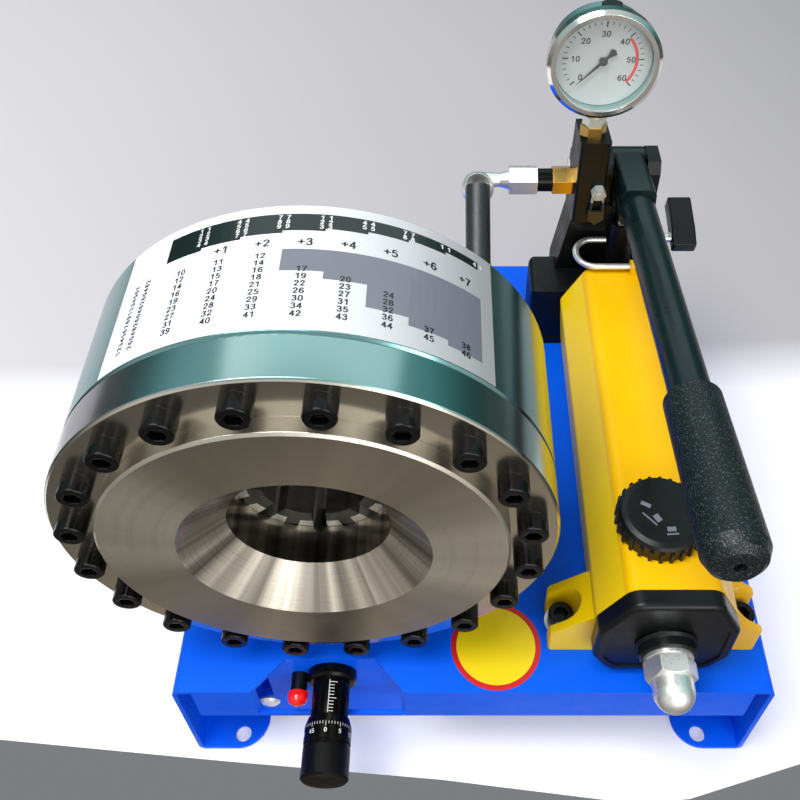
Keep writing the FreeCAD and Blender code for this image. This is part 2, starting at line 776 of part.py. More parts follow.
def make_end_cap():
    back, front = tank_front, tank_front - end_cap_thickness
    cap = prism([at(pump_x + x, front, z) for x, z in cap_outline(0.5)], at(0, end_cap_thickness, 0))
    cap = rounded(cap, 11, lambda edge: along(edge, REAR))
    cap = rounded(cap, 3.5, lambda edge: abs(middle(edge).y - front) < 0.01)
    panel = prism([at(pump_x + x, front - 1, z) for x, z in cap_outline(7)], at(0, 2, 0))
    panel = rounded(panel, 6, lambda edge: along(edge, REAR))
    nut_seat = front - end_boss_length
    boss = turned([(0, 0), (end_boss_radius + 1.5, 0), (end_boss_radius, 2), (end_boss_radius, end_boss_length - 1),
                   (end_boss_radius - 1, end_boss_length), (0, end_boss_length)],
                  at(pump_x, front, tie_rod_z), FRONT)
    shank = rod(end_boss_radius, at(pump_x, front, tie_rod_z), at(pump_x, back, tie_rod_z))
    hole = rod(tie_rod_radius, at(pump_x, nut_seat - 1, tie_rod_z), at(pump_x, back + 1, tie_rod_z))
    save("pump_end_cap", cap.cut(panel).fuse([boss, shank]).cut(hole).removeSplitter())
    face = at(pump_x, nut_seat, tie_rod_z)
    hex_start = face + FRONT * end_flange_thickness
    hex_end = hex_start + FRONT * end_nut_hex
    bolt = rod(tie_rod_radius - fit_clearance, hex_end, at(pump_x, head_block_front + 12, tie_rod_z))
    flange = rod(end_flange_radius, face, hex_start)
    nut = hex_bar(end_nut_flats, hex_start, hex_end)
    corner = end_nut_flats / 2 + 2.2
    chamfer = turned([(0, 0), (end_nut_flats / 2, 0), (corner, 1.6), (corner, end_nut_hex - 1.6),
                      (end_nut_flats / 2, end_nut_hex), (0, end_nut_hex)], hex_start, FRONT)
    dome_centre = hex_end + FRONT * end_nut_barrel
    crown = rod(end_nut_dome_radius, hex_end, dome_centre)
    dome = Part.makeSphere(end_nut_dome_radius, dome_centre)
    save("tie_bolt", nut.common(chamfer).fuse([flange, crown, dome, bolt]).removeSplitter())


def make_filler_cap():
    base = at(filler_x, filler_y, tank_top + running_gap)
    radius, height = filler_radius, filler_height
    cap = turned([(0, 0), (radius - 1.6, 0), (radius - 1.6, height - 3), (radius - 3, height - 1),
                  (radius - 6, height), (0, height)], base, UP)
    teeth = []
    for k in range(filler_teeth):
        turn = math.radians(360 / filler_teeth * k)
        way = at(math.cos(turn), math.sin(turn), 0)
        across = at(-way.y, way.x, 0)
        low = base + way * (radius - 4)
        high = base + way * radius
        half = math.pi * radius / filler_teeth / 2
        corners = [low - across * half, high - across * half * 0.6, high + across * half * 0.6, low + across * half]
        teeth.append(prism(corners, UP * (height - 4)))
    neck = rod(filler_neck_radius - 0.3, base - UP * (filler_neck_depth - 1), base)
    save("filler_cap", cap.fuse(teeth + [neck]).removeSplitter())


def make_pump_head():
    front, rear = head_block_front, head_block_rear
    lower = block((head_block_left, head_block_right), (front, rear), (base_height, head_block_top))
    lower = rounded(lower, 5, lambda edge: not along(edge, RIGHT) and middle(edge).z > base_height + 1)
    column_outline = [(-column_half_bottom, base_height), (column_half_bottom, base_height),
                      (column_half_bottom, head_block_top - 6), (column_half_top, column_top),
                      (-column_half_top, column_top), (-column_half_bottom, head_block_top - 6)]
    column = prism([at(column_x + x, column_front, z) for x, z in column_outline],
                   at(0, column_rear - column_front, 0))
    column = rounded(column, 4, lambda edge: along(edge, REAR) and middle(edge).z > base_height + 1)
    bridge = block((pump_x - tank_half_top, pump_x + tank_half_top), (tank_rear, front + 1),
                   (base_height + 20, head_block_top - 8))
    lean = math.tan(math.radians(gauge_lean))
    top_rear = valve_top - lean * (valve_rear - gauge_stem_y)
    top_front = top_rear + lean * (valve_rear - valve_front)
    valve = prism([at(valve_left, valve_front, valve_bottom), at(valve_left, valve_rear + 6, valve_bottom - 14),
                   at(valve_left, valve_rear + 6, valve_bottom + 10), at(valve_left, valve_rear, top_rear),
                   at(valve_left, valve_front, top_front)], at(valve_right - valve_left, 0, 0))
    valve = rounded(valve, 2, lambda edge: along(edge, UP))
    barrel = rod(barrel_radius, at(lever_x, crank_pin.y, base_height + 20), at(lever_x, crank_pin.y, barrel_top))
    inner = socket_width / 2 + running_gap
    cheek = [(cheek_front, column_top - 12), (cheek_front, cheek_top - cheek_bevel),
             (cheek_front + cheek_bevel / 2, cheek_top), (cheek_rear - cheek_bevel, cheek_top),
             (cheek_rear, cheek_top - cheek_bevel), (cheek_rear, column_top - 12)]
    cheeks = []
    for low, high in ((valve_left + 2, lever_x - inner), (lever_x + inner, lever_x + inner + cheek_thickness)):
        cheeks.append(prism([at(low, y, z) for y, z in cheek], at(high - low, 0, 0)))
    boss = rod(valve_boss_radius, at(column_x + 20, valve_stem_y, valve_stem_z),
               at(valve_boss_end, valve_stem_y, valve_stem_z))
    body = lower.fuse([column, bridge, valve, barrel, boss] + cheeks)
    reach = boss_radius + 2
    body = body.cut(rod(reach, at(lever_x - inner, pivot_y, pivot_z), at(lever_x + inner, pivot_y, pivot_z)))
    swing = [(pivot_y, pivot_z - reach), (tank_rear, pivot_z - reach), (tank_rear, valve_top),
             (pivot_y + reach, valve_top), (pivot_y + reach, pivot_z)]
    body = body.cut(prism([at(lever_x - inner, y, z) for y, z in swing], at(2 * inner, 0, 0)))
    eye_half = plunger_eye_width / 2 + 0.5
    eye_rear = crank_pin.y + plunger_eye_depth / 2 + 0.5
    body = body.cut(block((lever_x - eye_half, lever_x + eye_half), (tank_rear, eye_rear), (barrel_top, valve_top)))
    body = body.cut(rod(plunger_radius + fit_clearance, at(lever_x, crank_pin.y, head_block_top - 20),
                        at(lever_x, crank_pin.y, barrel_top + 20)))
    pin_end = lever_x + inner + cheek_thickness
    body = body.cut(rod(pivot_pin_radius, at(valve_left - 1, pivot_y, pivot_z), at(pin_end + 1, pivot_y, pivot_z)))
    bevel = [(pin_end + 1, pivot_z - boss_radius), (pin_end, pivot_z - boss_radius),
             (pin_end - cheek_thickness + 1.5, column_top + 1), (pin_end + 1, column_top + 1)]
    body = body.cut(prism([at(x, cheek_front - 1, z) for x, z in bevel], at(0, cheek_rear - cheek_front + 2, 0)))
    body = body.cut(rod(tie_rod_radius, at(pump_x, tank_rear - 1, tie_rod_z), at(pump_x, front + 12, tie_rod_z)))
    body = body.cut(rod(valve_stem_radius + fit_clearance, at(valve_boss_end - 20, valve_stem_y, valve_stem_z),
                        at(valve_boss_end + 1, valve_stem_y, valve_stem_z)))
    for x, y in block_screw_places():
        body = body.cut(rod(screw_radius, at(x, y, base_height - 1), at(x, y, base_height + thread_depth + 2)))
    save("pump_head", body.removeSplitter())
    pin = rod(pivot_pin_radius, at(valve_left - 1, pivot_y, pivot_z), at(pin_end + 3, pivot_y, pivot_z))
    save("pivot_pin", pin)
    save("valve_screw", *valve_screw_and_seal())


def valve_screw_and_seal():
    """The hexagon-headed screw in the valve block, and the wire loop and tag that hang from it."""
    screw = at(valve_screw_x, valve_front, valve_screw_z)
    head = hex_bar(9, screw, screw + FRONT * 6)
    head = head.fuse(rod(2.5, screw, screw + FRONT * 8)).removeSplitter()
    y = valve_front - seal_thickness / 2 - 0.3
    tag_top = valve_screw_z - seal_drop + seal_height
    tag = prism([at(valve_screw_x - seal_half_width, y, tag_top), at(valve_screw_x + seal_half_width, y, tag_top),
                 at(valve_screw_x + seal_half_width, y, tag_top - seal_height * 0.6),
                 at(valve_screw_x, y, tag_top - seal_height),
                 at(valve_screw_x - seal_half_width, y, tag_top - seal_height * 0.6)], FRONT * seal_thickness)
    wire_y = y - seal_thickness / 2
    for side in (-1, 1):
        low = at(valve_screw_x + side * (seal_half_width - 1.5), wire_y, tag_top - 2)
        high = at(valve_screw_x + side * 3.5, wire_y, valve_screw_z)
        tag = tag.fuse(rod(seal_wire_radius, low, high))
    return [head.fuse(tag).removeSplitter()]


def make_lever():
    inner = pivot_pin_radius + fit_clearance
    half = socket_width / 2
    boss = rod(boss_radius, at(lever_x - half, pivot_y, pivot_z), at(lever_x + half, pivot_y, pivot_z))
    low, high = -socket_height / 2, socket_height / 2
    socket = prism([on_lever(0, low, -half), on_lever(socket_end, low, -half), on_lever(socket_end, high, -half),
                    on_lever(0, high, -half)], at(socket_width, 0, 0))
    socket = rounded(socket, socket_corner, lambda edge: along(edge, lever_way))
    slot_half = plunger_eye_width / 2 + running_gap
    room = plunger_eye_depth / 2 + 0.5
    lean = math.radians(lever_range)
    back, up = room * math.cos(lean), room * math.sin(lean)
    shank = 45.0
    swept = [(-room, 0), (-room, -shank), (shank, -shank), (back + shank * math.sin(lean), up - shank * math.cos(lean)),
             (back, up)]
    cut = prism([at(lever_x - slot_half, crank_pin.y + y, crank_pin.z + z) for y, z in swept],
                at(2 * slot_half, 0, 0))
    cut = cut.fuse(rod(room * math.sqrt(2) + 0.2, at(lever_x - slot_half, crank_pin.y, crank_pin.z),
                       at(lever_x + slot_half, crank_pin.y, crank_pin.z)))
    ear = rod(crank_pin_radius + 5, at(lever_x - half, crank_pin.y, crank_pin.z),
              at(lever_x + half, crank_pin.y, crank_pin.z))
    body = boss.fuse([socket, ear]).cut(cut)
    body = body.cut(rod(inner, at(lever_x - half - 1, pivot_y, pivot_z), at(lever_x + half + 1, pivot_y, pivot_z)))
    body = body.cut(rod(tube_radius, on_lever(socket_end - socket_bore_depth), on_lever(socket_end + 1)))
    pin = rod(crank_pin_radius, at(lever_x - half, crank_pin.y, crank_pin.z),
              at(lever_x + half, crank_pin.y, crank_pin.z))
    save("lever_socket", body.fuse(pin).removeSplitter())
    save("lever_tube", tube(tube_radius, tube_radius - tube_wall, on_lever(socket_end - socket_bore_depth),
                            on_lever(tube_end)))
    length = grip_end - grip_start
    grip = turned([(tube_radius, 0), (grip_rear_radius - 1.5, 0), (grip_rear_radius, 1.5),
                   (grip_front_radius, length - 9), (grip_front_radius - 2.6, length - 3),
                   (grip_front_radius - 6.5, length), (3, length), (3, length - 4),
                   (tube_radius, length - (grip_end - tube_end))], on_lever(grip_start), lever_way)
    save("lever_grip", grip)


def make_plunger():
    top = crank_pin.z + plunger_eye_depth / 2
    shank = rod(plunger_radius, at(lever_x, crank_pin.y, head_block_top - 18),
                at(lever_x, crank_pin.y, barrel_top + 1.5))
    half = plunger_eye_width / 2
    deep = plunger_eye_depth / 2
    eye = block((lever_x - half, lever_x + half), (crank_pin.y - deep, crank_pin.y + deep), (barrel_top + 1, top))
    eye = rounded(eye, 4, lambda edge: along(edge, RIGHT) and middle(edge).z > top - 1)
    gap = crank_pin_radius + plunger_eye_gap
    slot = block((lever_x - half - 1, lever_x + half + 1), (crank_pin.y - gap - 2.6, crank_pin.y + gap),
                 (crank_pin.z - gap, crank_pin.z + gap))
    save("pump_plunger", shank.fuse(eye).cut(slot).removeSplitter())


def make_release_valve():
    y, z = valve_stem_y, valve_stem_z
    stem = rod(valve_stem_radius, at(valve_boss_end - 18, y, z), at(knob_x + 1, y, z))
    front, rear = y - knob_heel, y - knob_heel + knob_length
    low, high = z - knob_height / 2, z + knob_height / 2
    profile = [(front, low), (front, high - knob_nose), (front + knob_fold, high), (rear, high), (rear, low)]
    handle = prism([at(knob_x, along_y, up) for along_y, up in profile], at(knob_width, 0, 0))
    handle = rounded(handle, 1.6, lambda edge: True)
    rib = prism([at(knob_x + 2, y - 2, z + valve_stem_radius - 1), at(knob_x + 2, y - 2, high - 1),
                 at(knob_x - knob_rib, y - 2, z + valve_stem_radius - 1)], at(0, 4, 0))
    handle = handle.fuse(rib)
    handle.rotate(at(knob_x, y, z), RIGHT, knob_rise)
    save("release_knob", handle.fuse(stem).removeSplitter())


def make_hold_down_wire():
    low, high = wire_y, wire_y + wire_reach
    bend = wire_bend
    points = [at(wire_long_end, low, wire_z), at(wire_left + bend, low, wire_z), at(wire_left, low + bend, wire_z),
              at(wire_left, high - bend, wire_z), at(wire_left + bend, high, wire_z),
              at(wire_short_end, high, wire_z)]
    drop = bend * (1 - math.sqrt(0.5))
    first = at(wire_left + drop, low + drop, wire_z)
    second = at(wire_left + drop, high - drop, wire_z)
    path = Part.Wire([Part.LineSegment(points[0], points[1]).toShape(),
                      Part.Arc(points[1], first, points[2]).toShape(),
                      Part.LineSegment(points[2], points[3]).toShape(),
                      Part.Arc(points[3], second, points[4]).toShape(),
                      Part.LineSegment(points[4], points[5]).toShape()])
    ring = Part.Wire(Part.Circle(points[0], RIGHT, wire_radius).toShape())
    save("hold_down_wire", path.makePipeShell([ring], True, True))


def leaned(shape):
    """Gauge pieces are drawn upright, then leaned back with the slanted top of the valve block."""
    foot = at(gauge_x, gauge_stem_y, valve_top)
    shape.rotate(foot, RIGHT, -gauge_lean)
    return shape


def make_gauge():
    foot = at(gauge_x, gauge_stem_y, valve_top)
    adapter = hex_bar(2 * adapter_radius * 0.92, foot, foot + UP * adapter_height)
    save("gauge_adapter", leaned(adapter))
    centre_z = valve_top + gauge_height
    face = at(gauge_x, gauge_stem_y + case_front, centre_z)
    rear = case_depth
    shell = turned([(0, rear), (case_radius - 2, rear), (case_radius, rear - 2), (case_radius, 2),
                    (case_radius - case_wall, 2), (case_radius - case_wall, rear - 2 - case_wall),
                    (0, rear - 2 - case_wall)], face, REAR)
    stem_low = valve_top + adapter_height
    stem = hex_bar(stem_flats, at(gauge_x, gauge_stem_y, stem_low), at(gauge_x, gauge_stem_y, stem_low + stem_height))
    neck = rod(5.5, at(gauge_x, gauge_stem_y, stem_low + stem_height - 1),
               at(gauge_x, gauge_stem_y, centre_z - case_radius + 3))
    neck = neck.cut(rod(case_radius - 0.2, face + REAR * 2, face + REAR * rear))
    save("gauge_case", leaned(shell.fuse([stem, neck]).removeSplitter()))
    bezel = turned([(window_radius, -1), (bezel_radius - 2.5, -1), (bezel_radius, 1.2), (bezel_radius, bezel_depth),
                    (case_radius, bezel_depth), (case_radius, 2), (window_radius, 2)], face, REAR)
    save("gauge_bezel", leaned(bezel))
    glass = rod(case_radius - case_wall - fit_clearance, face + REAR * 2.1, face + REAR * 3.6)
    save("gauge_lens", leaned(glass))
    dial_front = dial_setback + 3
    dial = rod(case_radius - case_wall - 0.3, face + REAR * dial_front, face + REAR * (rear - 2 - case_wall))
    save("gauge_dial", leaned(dial))
    needle_y = dial_front - 1.4
    centre = face + REAR * needle_y
    zero = math.radians(225)
    way = at(math.cos(zero), 0, math.sin(zero))
    across = at(-way.z, 0, way.x)
    outline = [centre + way * pointer_length, centre + across * 1.0, centre - way * pointer_tail * 0.5 + across * 0.8,
               centre - way * pointer_tail + across * 2.6, centre - way * (pointer_tail + 1.5),
               centre - way * pointer_tail - across * 2.6, centre - way * pointer_tail * 0.5 - across * 0.8,
               centre - across * 1.0]
    needle = prism(outline, at(0, -0.7, 0))
    hub = rod(2.6, centre + REAR * 0.6, centre - REAR * 1.6)
    save("gauge_pointer", leaned(needle.fuse(hub).removeSplitter()))
    crown = at(gauge_x + 3, gauge_stem_y + case_front + 15, centre_z + case_radius - 1.2)
    plug = rod(plug_radius, crown, crown + UP * 3.2).cut(rod(case_radius, face, face + REAR * rear))
    save("gauge_plug", leaned(plug))


def make_outlet():
    x = valve_left
    def station(place):
        return at(place, outlet_y, outlet_z)
    brass = hex_bar(2 * outlet_brass_radius * 0.94, station(x), station(x - outlet_brass))
    save("outlet_adapter", brass)
    x -= outlet_brass
    save("coupling_collar", rod(outlet_collar_radius, station(x), station(x - outlet_collar)))
    x -= outlet_collar
    save("hose_nut", hex_bar(outlet_nut_flats, station(x), station(x - outlet_nut)))
    x -= outlet_nut
    port = on_head(port_circle, port_angle, body_rear)
    corner = at(port.x, outlet_y, outlet_z)
    down = math.radians(elbow_drop)
    leg = at(0, -math.cos(down), -math.sin(down))
    square = at(0, -math.sin(down), math.cos(down))
    neck = turned([(0, 0), (elbow_neck_radius + 2, 0), (elbow_neck_radius, elbow_neck * 0.5),
                   (elbow_neck_radius + 1, x - corner.x), (0, x - corner.x)], station(x), at(-1, 0, 0))
    centre = corner + leg * elbow_leg
    start = centre + square * elbow_seat
    seat = rod(hose_diameter / 2, start, start + leg * 2 * elbow_radius)
    seat = seat.fuse(Part.makeSphere(hose_diameter / 2, start))
    elbow = neck.fuse(Part.makeSphere(elbow_radius, centre)).cut(seat)
    save("hose_elbow", elbow.removeSplitter())
    hex_end = port + REAR * port_hex
    neck_end = hex_end + REAR * port_neck
    end = neck_end + REAR * port_ferrule
    fitting = hex_bar(port_flats, port, hex_end)
    fitting = fitting.fuse([rod(8, hex_end, neck_end), rod(port_ferrule_radius, neck_end, end)])
    save("port_fitting", fitting.removeSplitter())
    return start, end, leg


def rounded_path(points):
    """Straight runs joined by arcs tangent to them, each arc as large as its two runs allow."""
    edges = []
    last = points[0]
    for before, corner, after in zip(points, points[1:], points[2:]):
        back = (before - corner).normalize()
        ahead = (after - corner).normalize()
        turn = math.pi - math.acos(max(-1.0, min(1.0, back.dot(ahead))))
        trim = 0.45 * min((before - corner).Length, (after - corner).Length)
        radius = trim / math.tan(turn / 2)
        first, final = corner + back * trim, corner + ahead * trim
        inward = (back + ahead).normalize()
        mid = corner + inward * (radius / math.cos(turn / 2) - radius)
        edges.append(Part.LineSegment(last, first).toShape())
        edges.append(Part.Arc(first, mid, final).toShape())
        print("hose turn", round(math.degrees(turn), 1), "degrees, radius", round(radius, 1))
        last = final
    edges.append(Part.LineSegment(last, points[-1]).toShape())
    return Part.Wire(edges)


def make_hose(start, end, leg):
    """The hose leaves the elbow along its leg, eases off, and runs level into the port fitting."""
    first = start + leg * hose_first_run
    second = at(end.x, first.y - (first.z - end.z) / math.tan(math.radians(hose_drop)), end.z)
    points = [start, first, second, end]
    path = rounded_path(points)
    ring = Part.Wire(Part.Circle(start, leg, hose_diameter / 2).toShape())
    hose = path.makePipeShell([ring], True, True)
    section = math.pi * hose_diameter ** 2 / 4
    print("hose length", round(path.Length, 2), "volume ratio", round(hose.Volume / (section * path.Length), 4))
    hose = hose.fuse(Part.makeSphere(hose_diameter / 2, start)).removeSplitter()
    print("hose points", [(round(p.x, 1), round(p.y, 1), round(p.z, 1)) for p in points])
    save("pressure_hose", hose)


def main():
    os.makedirs("parts", exist_ok=True)
    make_base_plate()
    make_saddle()
    make_mounting_screws()
    make_nuts_and_washers()
    make_flange()
    make_cone_plate()
    make_cylinder()
    make_gland()
    make_piston()
    make_feeler()
    make_dies()
    make_bracket()
    make_micrometer()
    make_lamp()
    make_tank()
    make_end_cap()
    make_filler_cap()
    make_pump_head()
    make_lever()
    make_plunger()
    make_release_valve()
    make_hold_down_wire()
    make_gauge()
    make_hose(*make_outlet())


main()
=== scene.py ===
import json
import math

import bpy
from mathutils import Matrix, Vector


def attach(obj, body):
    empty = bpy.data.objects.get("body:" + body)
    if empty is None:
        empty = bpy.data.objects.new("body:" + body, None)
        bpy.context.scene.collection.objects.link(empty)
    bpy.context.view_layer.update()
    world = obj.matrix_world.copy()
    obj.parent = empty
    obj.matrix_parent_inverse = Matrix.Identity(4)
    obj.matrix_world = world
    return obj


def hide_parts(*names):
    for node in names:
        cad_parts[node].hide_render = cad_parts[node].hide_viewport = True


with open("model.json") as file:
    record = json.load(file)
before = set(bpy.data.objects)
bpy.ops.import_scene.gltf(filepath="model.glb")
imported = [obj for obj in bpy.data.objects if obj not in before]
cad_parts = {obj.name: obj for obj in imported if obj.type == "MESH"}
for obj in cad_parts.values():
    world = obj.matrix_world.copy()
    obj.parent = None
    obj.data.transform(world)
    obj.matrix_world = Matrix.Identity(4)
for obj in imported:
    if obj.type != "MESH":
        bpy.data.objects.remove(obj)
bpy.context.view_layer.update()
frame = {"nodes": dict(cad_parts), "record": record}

nodes = frame["nodes"]
MM = 0.001

# Sizes shared with the CAD source, in millimetres
head_x = -90.0
head_z = 240.5
head_front = -171.0
head_radius = 133.0
mouth_radius = 66.3
plate_top = 99.0
gauge_foot = (83.0, 113.0, 297.0)
gauge_lean = 8.0
gauge_height = 58.0
gauge_case_radius = 33.0
dial_face = -9.0
micrometer_x = -90.0
micrometer_z = 78.0
micrometer_front = -166.0
sleeve_radius = 11.7
thimble_radius = 14.6
thimble_gap = 30.0
cap_centre = (109.0, -123.0, 203.8)
hose_points = [(5.7, 110.33, 254.43), (5.7, 79.58, 232.1), (5.7, 29.0, 205.2), (5.7, -5.1, 205.2)]
hose_diameter = 17.5

# Zones that have another tone than the rest of their slot, as limits in millimetres
throat_reach = 40.0
die_throat = {"x": (head_x - throat_reach, head_x + throat_reach),
              "z": (head_z - throat_reach, head_z + throat_reach)}
knob_stem = {"x": (150.6, 157.4), "y": (110, 150), "z": (170, 200)}
valve_screw = {"x": (80, 100), "z": (249.5, 275)}
valve_seal = {"x": (78, 102), "z": (224, 249.5)}
gauge_stem = {"z": (280, gauge_foot[2] + gauge_height - gauge_case_radius)}
# Painted light: the pump's slope towards the head gets a lighter yellow, standing in for the light that the
# head's shade takes away
tank_painted_light_zone = {"x": (20, 84.5)}

# How far below the drum's surface its own tone and painted reflection start, in millimetres
drum_skin = 0.7

# The range that a noise texture mostly keeps to, which spans and drifts stretch
noise_low, noise_high = 0.3, 0.7

# The photograph's camera, in millimetres and degrees
camera_place = (-16.9, -416.2, 691.6)
camera_tilt = 43.48
camera_lens = 42.99
camera_sensor = 36.0
camera_shift = (-0.0575, -0.125)


def photograph_camera():
    """The camera that took the photograph, solved from the machine's right angles and circles."""
    data = bpy.data.cameras.new("camera")
    data.lens = camera_lens
    data.sensor_width = camera_sensor
    data.shift_x, data.shift_y = camera_shift
    data.clip_start = 0.01
    camera = bpy.data.objects.new("camera", data)
    camera.location = [value * MM for value in camera_place]
    camera.rotation_euler = (math.radians(camera_tilt), 0, 0)
    bpy.context.scene.collection.objects.link(camera)
    bpy.context.scene.camera = camera


photograph_camera()


def colour(red, green, blue):
    """A linear colour from the three 0 to 255 values that a screen shows."""
    def linear(value):
        value /= 255
        return value / 12.92 if value <= 0.04045 else ((value + 0.055) / 1.055) ** 2.4
    return (linear(red), linear(green), linear(blue), 1.0)


def shade(base, amount):
    """The base tone made darker, by an amount below 1, or lighter."""
    return tuple(min(1.0, value * amount) for value in base[:3]) + (1.0,)


class Nodes:
    """A node tree being built. Each method adds nodes and returns their outlet."""

    def __init__(self, tree, space):
        self.tree = tree
        self.place = self.node("ShaderNodeTexCoord").outputs[space]

    def node(self, kind, **values):
        made = self.tree.nodes.new(kind)
        for key, value in values.items():
            setattr(made, key, value)
        return made

    def feed(self, socket, value):
        """Joins an outlet to the socket, or gives the socket a plain value."""
        if hasattr(value, "is_linked"):
            self.tree.links.new(value, socket)
        else:
            socket.default_value = value

    def math(self, operation, first, second=None):
        made = self.node("ShaderNodeMath", operation=operation)
        self.feed(made.inputs[0], first)
        if second is not None:
            self.feed(made.inputs[1], second)
        return made.outputs[0]

    def axes(self):
        split = self.node("ShaderNodeSeparateXYZ")
        self.feed(split.inputs[0], self.place)
        return split.outputs

    def vector(self, **axes):
        made = self.node("ShaderNodeCombineXYZ")
        for axis, value in axes.items():
            self.feed(made.inputs[axis.upper()], value)
        return made.outputs[0]

    def stretched(self, x, y, z):
        made = self.node("ShaderNodeMapping")
        made.inputs["Scale"].default_value = (x, y, z)
        self.feed(made.inputs["Vector"], self.place)
        return made.outputs["Vector"]

    def noise(self, scale, detail=3.0, rough=0.55, place=None):
        made = self.node("ShaderNodeTexNoise")
        made.inputs["Scale"].default_value = scale
        made.inputs["Detail"].default_value = detail
        made.inputs["Roughness"].default_value = rough
        self.feed(made.inputs["Vector"], place or self.place)
        return made.outputs["Fac"]

    def ramp(self, factor, *stops):
        made = self.node("ShaderNodeValToRGB")
        elements = made.color_ramp.elements
        while len(elements) < len(stops):
            elements.new(0.5)
        for element, (position, tone) in zip(elements, stops):
            element.position = position
            element.color = (*tone[:3], 1.0)
        self.feed(made.inputs["Fac"], factor)
        return made.outputs["Color"]

    def rescale(self, value, low, high, new_low=0.0, new_high=1.0, curve="LINEAR"):
        made = self.node("ShaderNodeMapRange", interpolation_type=curve)
        for name, given in (("Value", value), ("From Min", low), ("From Max", high),
                            ("To Min", new_low), ("To Max", new_high)):
            self.feed(made.inputs[name], given)
        return made.outputs["Result"]

    def blend(self, factor, first, second):
        made = self.node("ShaderNodeMix", data_type="RGBA")
        for index, value in ((0, factor), (6, first), (7, second)):
            self.feed(made.inputs[index], value)
        return made.outputs[2]

    def inside(self, limits):
        """1 within the given limits of x, y and z in millimetres, 0 outside."""
        axes = self.axes()
        result = 1.0
        for axis, (low, high) in limits.items():
            value = axes[axis.upper()]
            result = self.math("MULTIPLY", self.math("GREATER_THAN", value, low * MM), result)
            result = self.math("MULTIPLY", self.math("LESS_THAN", value, high * MM), result)
        return result

    def mixed(self, first, second, share):
        """The two values added, each at its share."""
        return self.math("ADD", self.math("MULTIPLY", first, share), self.math("MULTIPLY", second, 1 - share))


class Finish(Nodes):
    """A material being built: its principled shader and the nodes that feed it."""

    def __init__(self, name):
        self.material = bpy.data.materials.new(name)
        self.material.use_nodes = True
        self.shader = self.material.node_tree.nodes["Principled BSDF"]
        super().__init__(self.material.node_tree, "Object")

    def set(self, **values):
        """Feeds sockets of the shader, with an underscore for each space in a name."""
        for key, value in values.items():
            self.feed(self.shader.inputs[key.replace("_", " ")], value)

    def span(self, factor, low, high):
        return self.rescale(factor, noise_low, noise_high, low, high)

    def drift(self, factor, dark, light):
        return self.ramp(factor, (noise_low, dark), (noise_high, light))

    def around(self, base, amount, factor):
        """The base tone, drifting by the given share to each side."""
        return self.drift(factor, shade(base, 1 - amount), shade(base, 1 + amount))

    def bump(self, height, depth, edge=0.0, strength=1.0):
        """Relief of the given depth, and edges rounded over the given radius, in millimetres."""
        made = self.node("ShaderNodeBump")
        made.inputs["Distance"].default_value = depth * MM
        made.inputs["Strength"].default_value = strength
        self.feed(made.inputs["Height"], height)
        if edge:
            bevel = self.node("ShaderNodeBevel", samples=4)
            bevel.inputs["Radius"].default_value = edge * MM
            self.feed(made.inputs["Normal"], bevel.outputs["Normal"])
        self.feed(self.shader.inputs["Normal"], made.outputs["Normal"])


def paint(name, base, rough, peel, coat, shine, peel_scale=260, mottle=0.06, edge=0.6, left=None):
    """Gloss paint over metal: a faint orange peel, slow shade changes and a clear surface.

    left is a lighter tone painted on the pump's side towards the head: painted light on the slope that lies
    in the head's shade.
    """
    finish = Finish(name)
    tone = finish.around(base, mottle, finish.noise(14, 4))
    # Painted light: a lighter tone on the slope that lies in the head's shade
    if left:
        tone = finish.blend(finish.inside(tank_painted_light_zone), tone, left)
    finish.set(Base_Color=tone, Roughness=finish.span(finish.noise(60, 5), rough * 0.8, rough * 1.25),
               Metallic=0.0, Coat_Weight=coat, Coat_Roughness=0.12, Specular_IOR_Level=shine)
    finish.bump(finish.noise(peel_scale, 2), peel, edge)
    return finish.material


def metal(name, base, rough, grain=(900, 900, 900), depth=0.01, mottle=0.05, metallic=1.0):
    """Bare or plated metal with a grain that can run one way."""
    finish = Finish(name)
    lines = finish.noise(1.0, 3, 0.6, finish.stretched(*grain))
    slow = finish.noise(35, 4)
    finish.set(Base_Color=finish.around(base, mottle, slow), Metallic=metallic,
               Roughness=finish.span(finish.mixed(lines, slow, 0.5), rough * 0.65, rough * 1.35))
    finish.bump(lines, depth, 0.3)
    return finish.material


def blackened(name):
    """Black oxide on screws, worn to grey steel on the die inserts round the head's axis."""
    finish = Finish(name)
    wear = finish.noise(70, 4)
    black = finish.drift(wear, colour(6, 6, 6), colour(14, 13, 13))
    grey = finish.drift(wear, colour(46, 44, 41), colour(74, 71, 66))
    finish.set(Base_Color=finish.blend(finish.inside(die_throat), black, grey), Metallic=0.05,
               Specular_IOR_Level=0.26, Roughness=finish.span(wear, 0.14, 0.26))
    finish.bump(finish.noise(700, 3), 0.015, 0.9)
    return finish.material


def moulded(name):
    """Black moulded plastic; the release knob's stem shows bright steel."""
    finish = Finish(name)
    stem = finish.inside(knob_stem)
    black = finish.drift(finish.noise(40, 3), colour(11, 13, 14), colour(17, 19, 20))
    finish.set(Base_Color=finish.blend(stem, black, colour(225, 226, 222)), Metallic=stem,
               Specular_IOR_Level=0.28, Roughness=finish.span(finish.noise(120, 3), 0.28, 0.4))
    finish.bump(finish.noise(700, 2), 0.03, 0.5)
    return finish.material


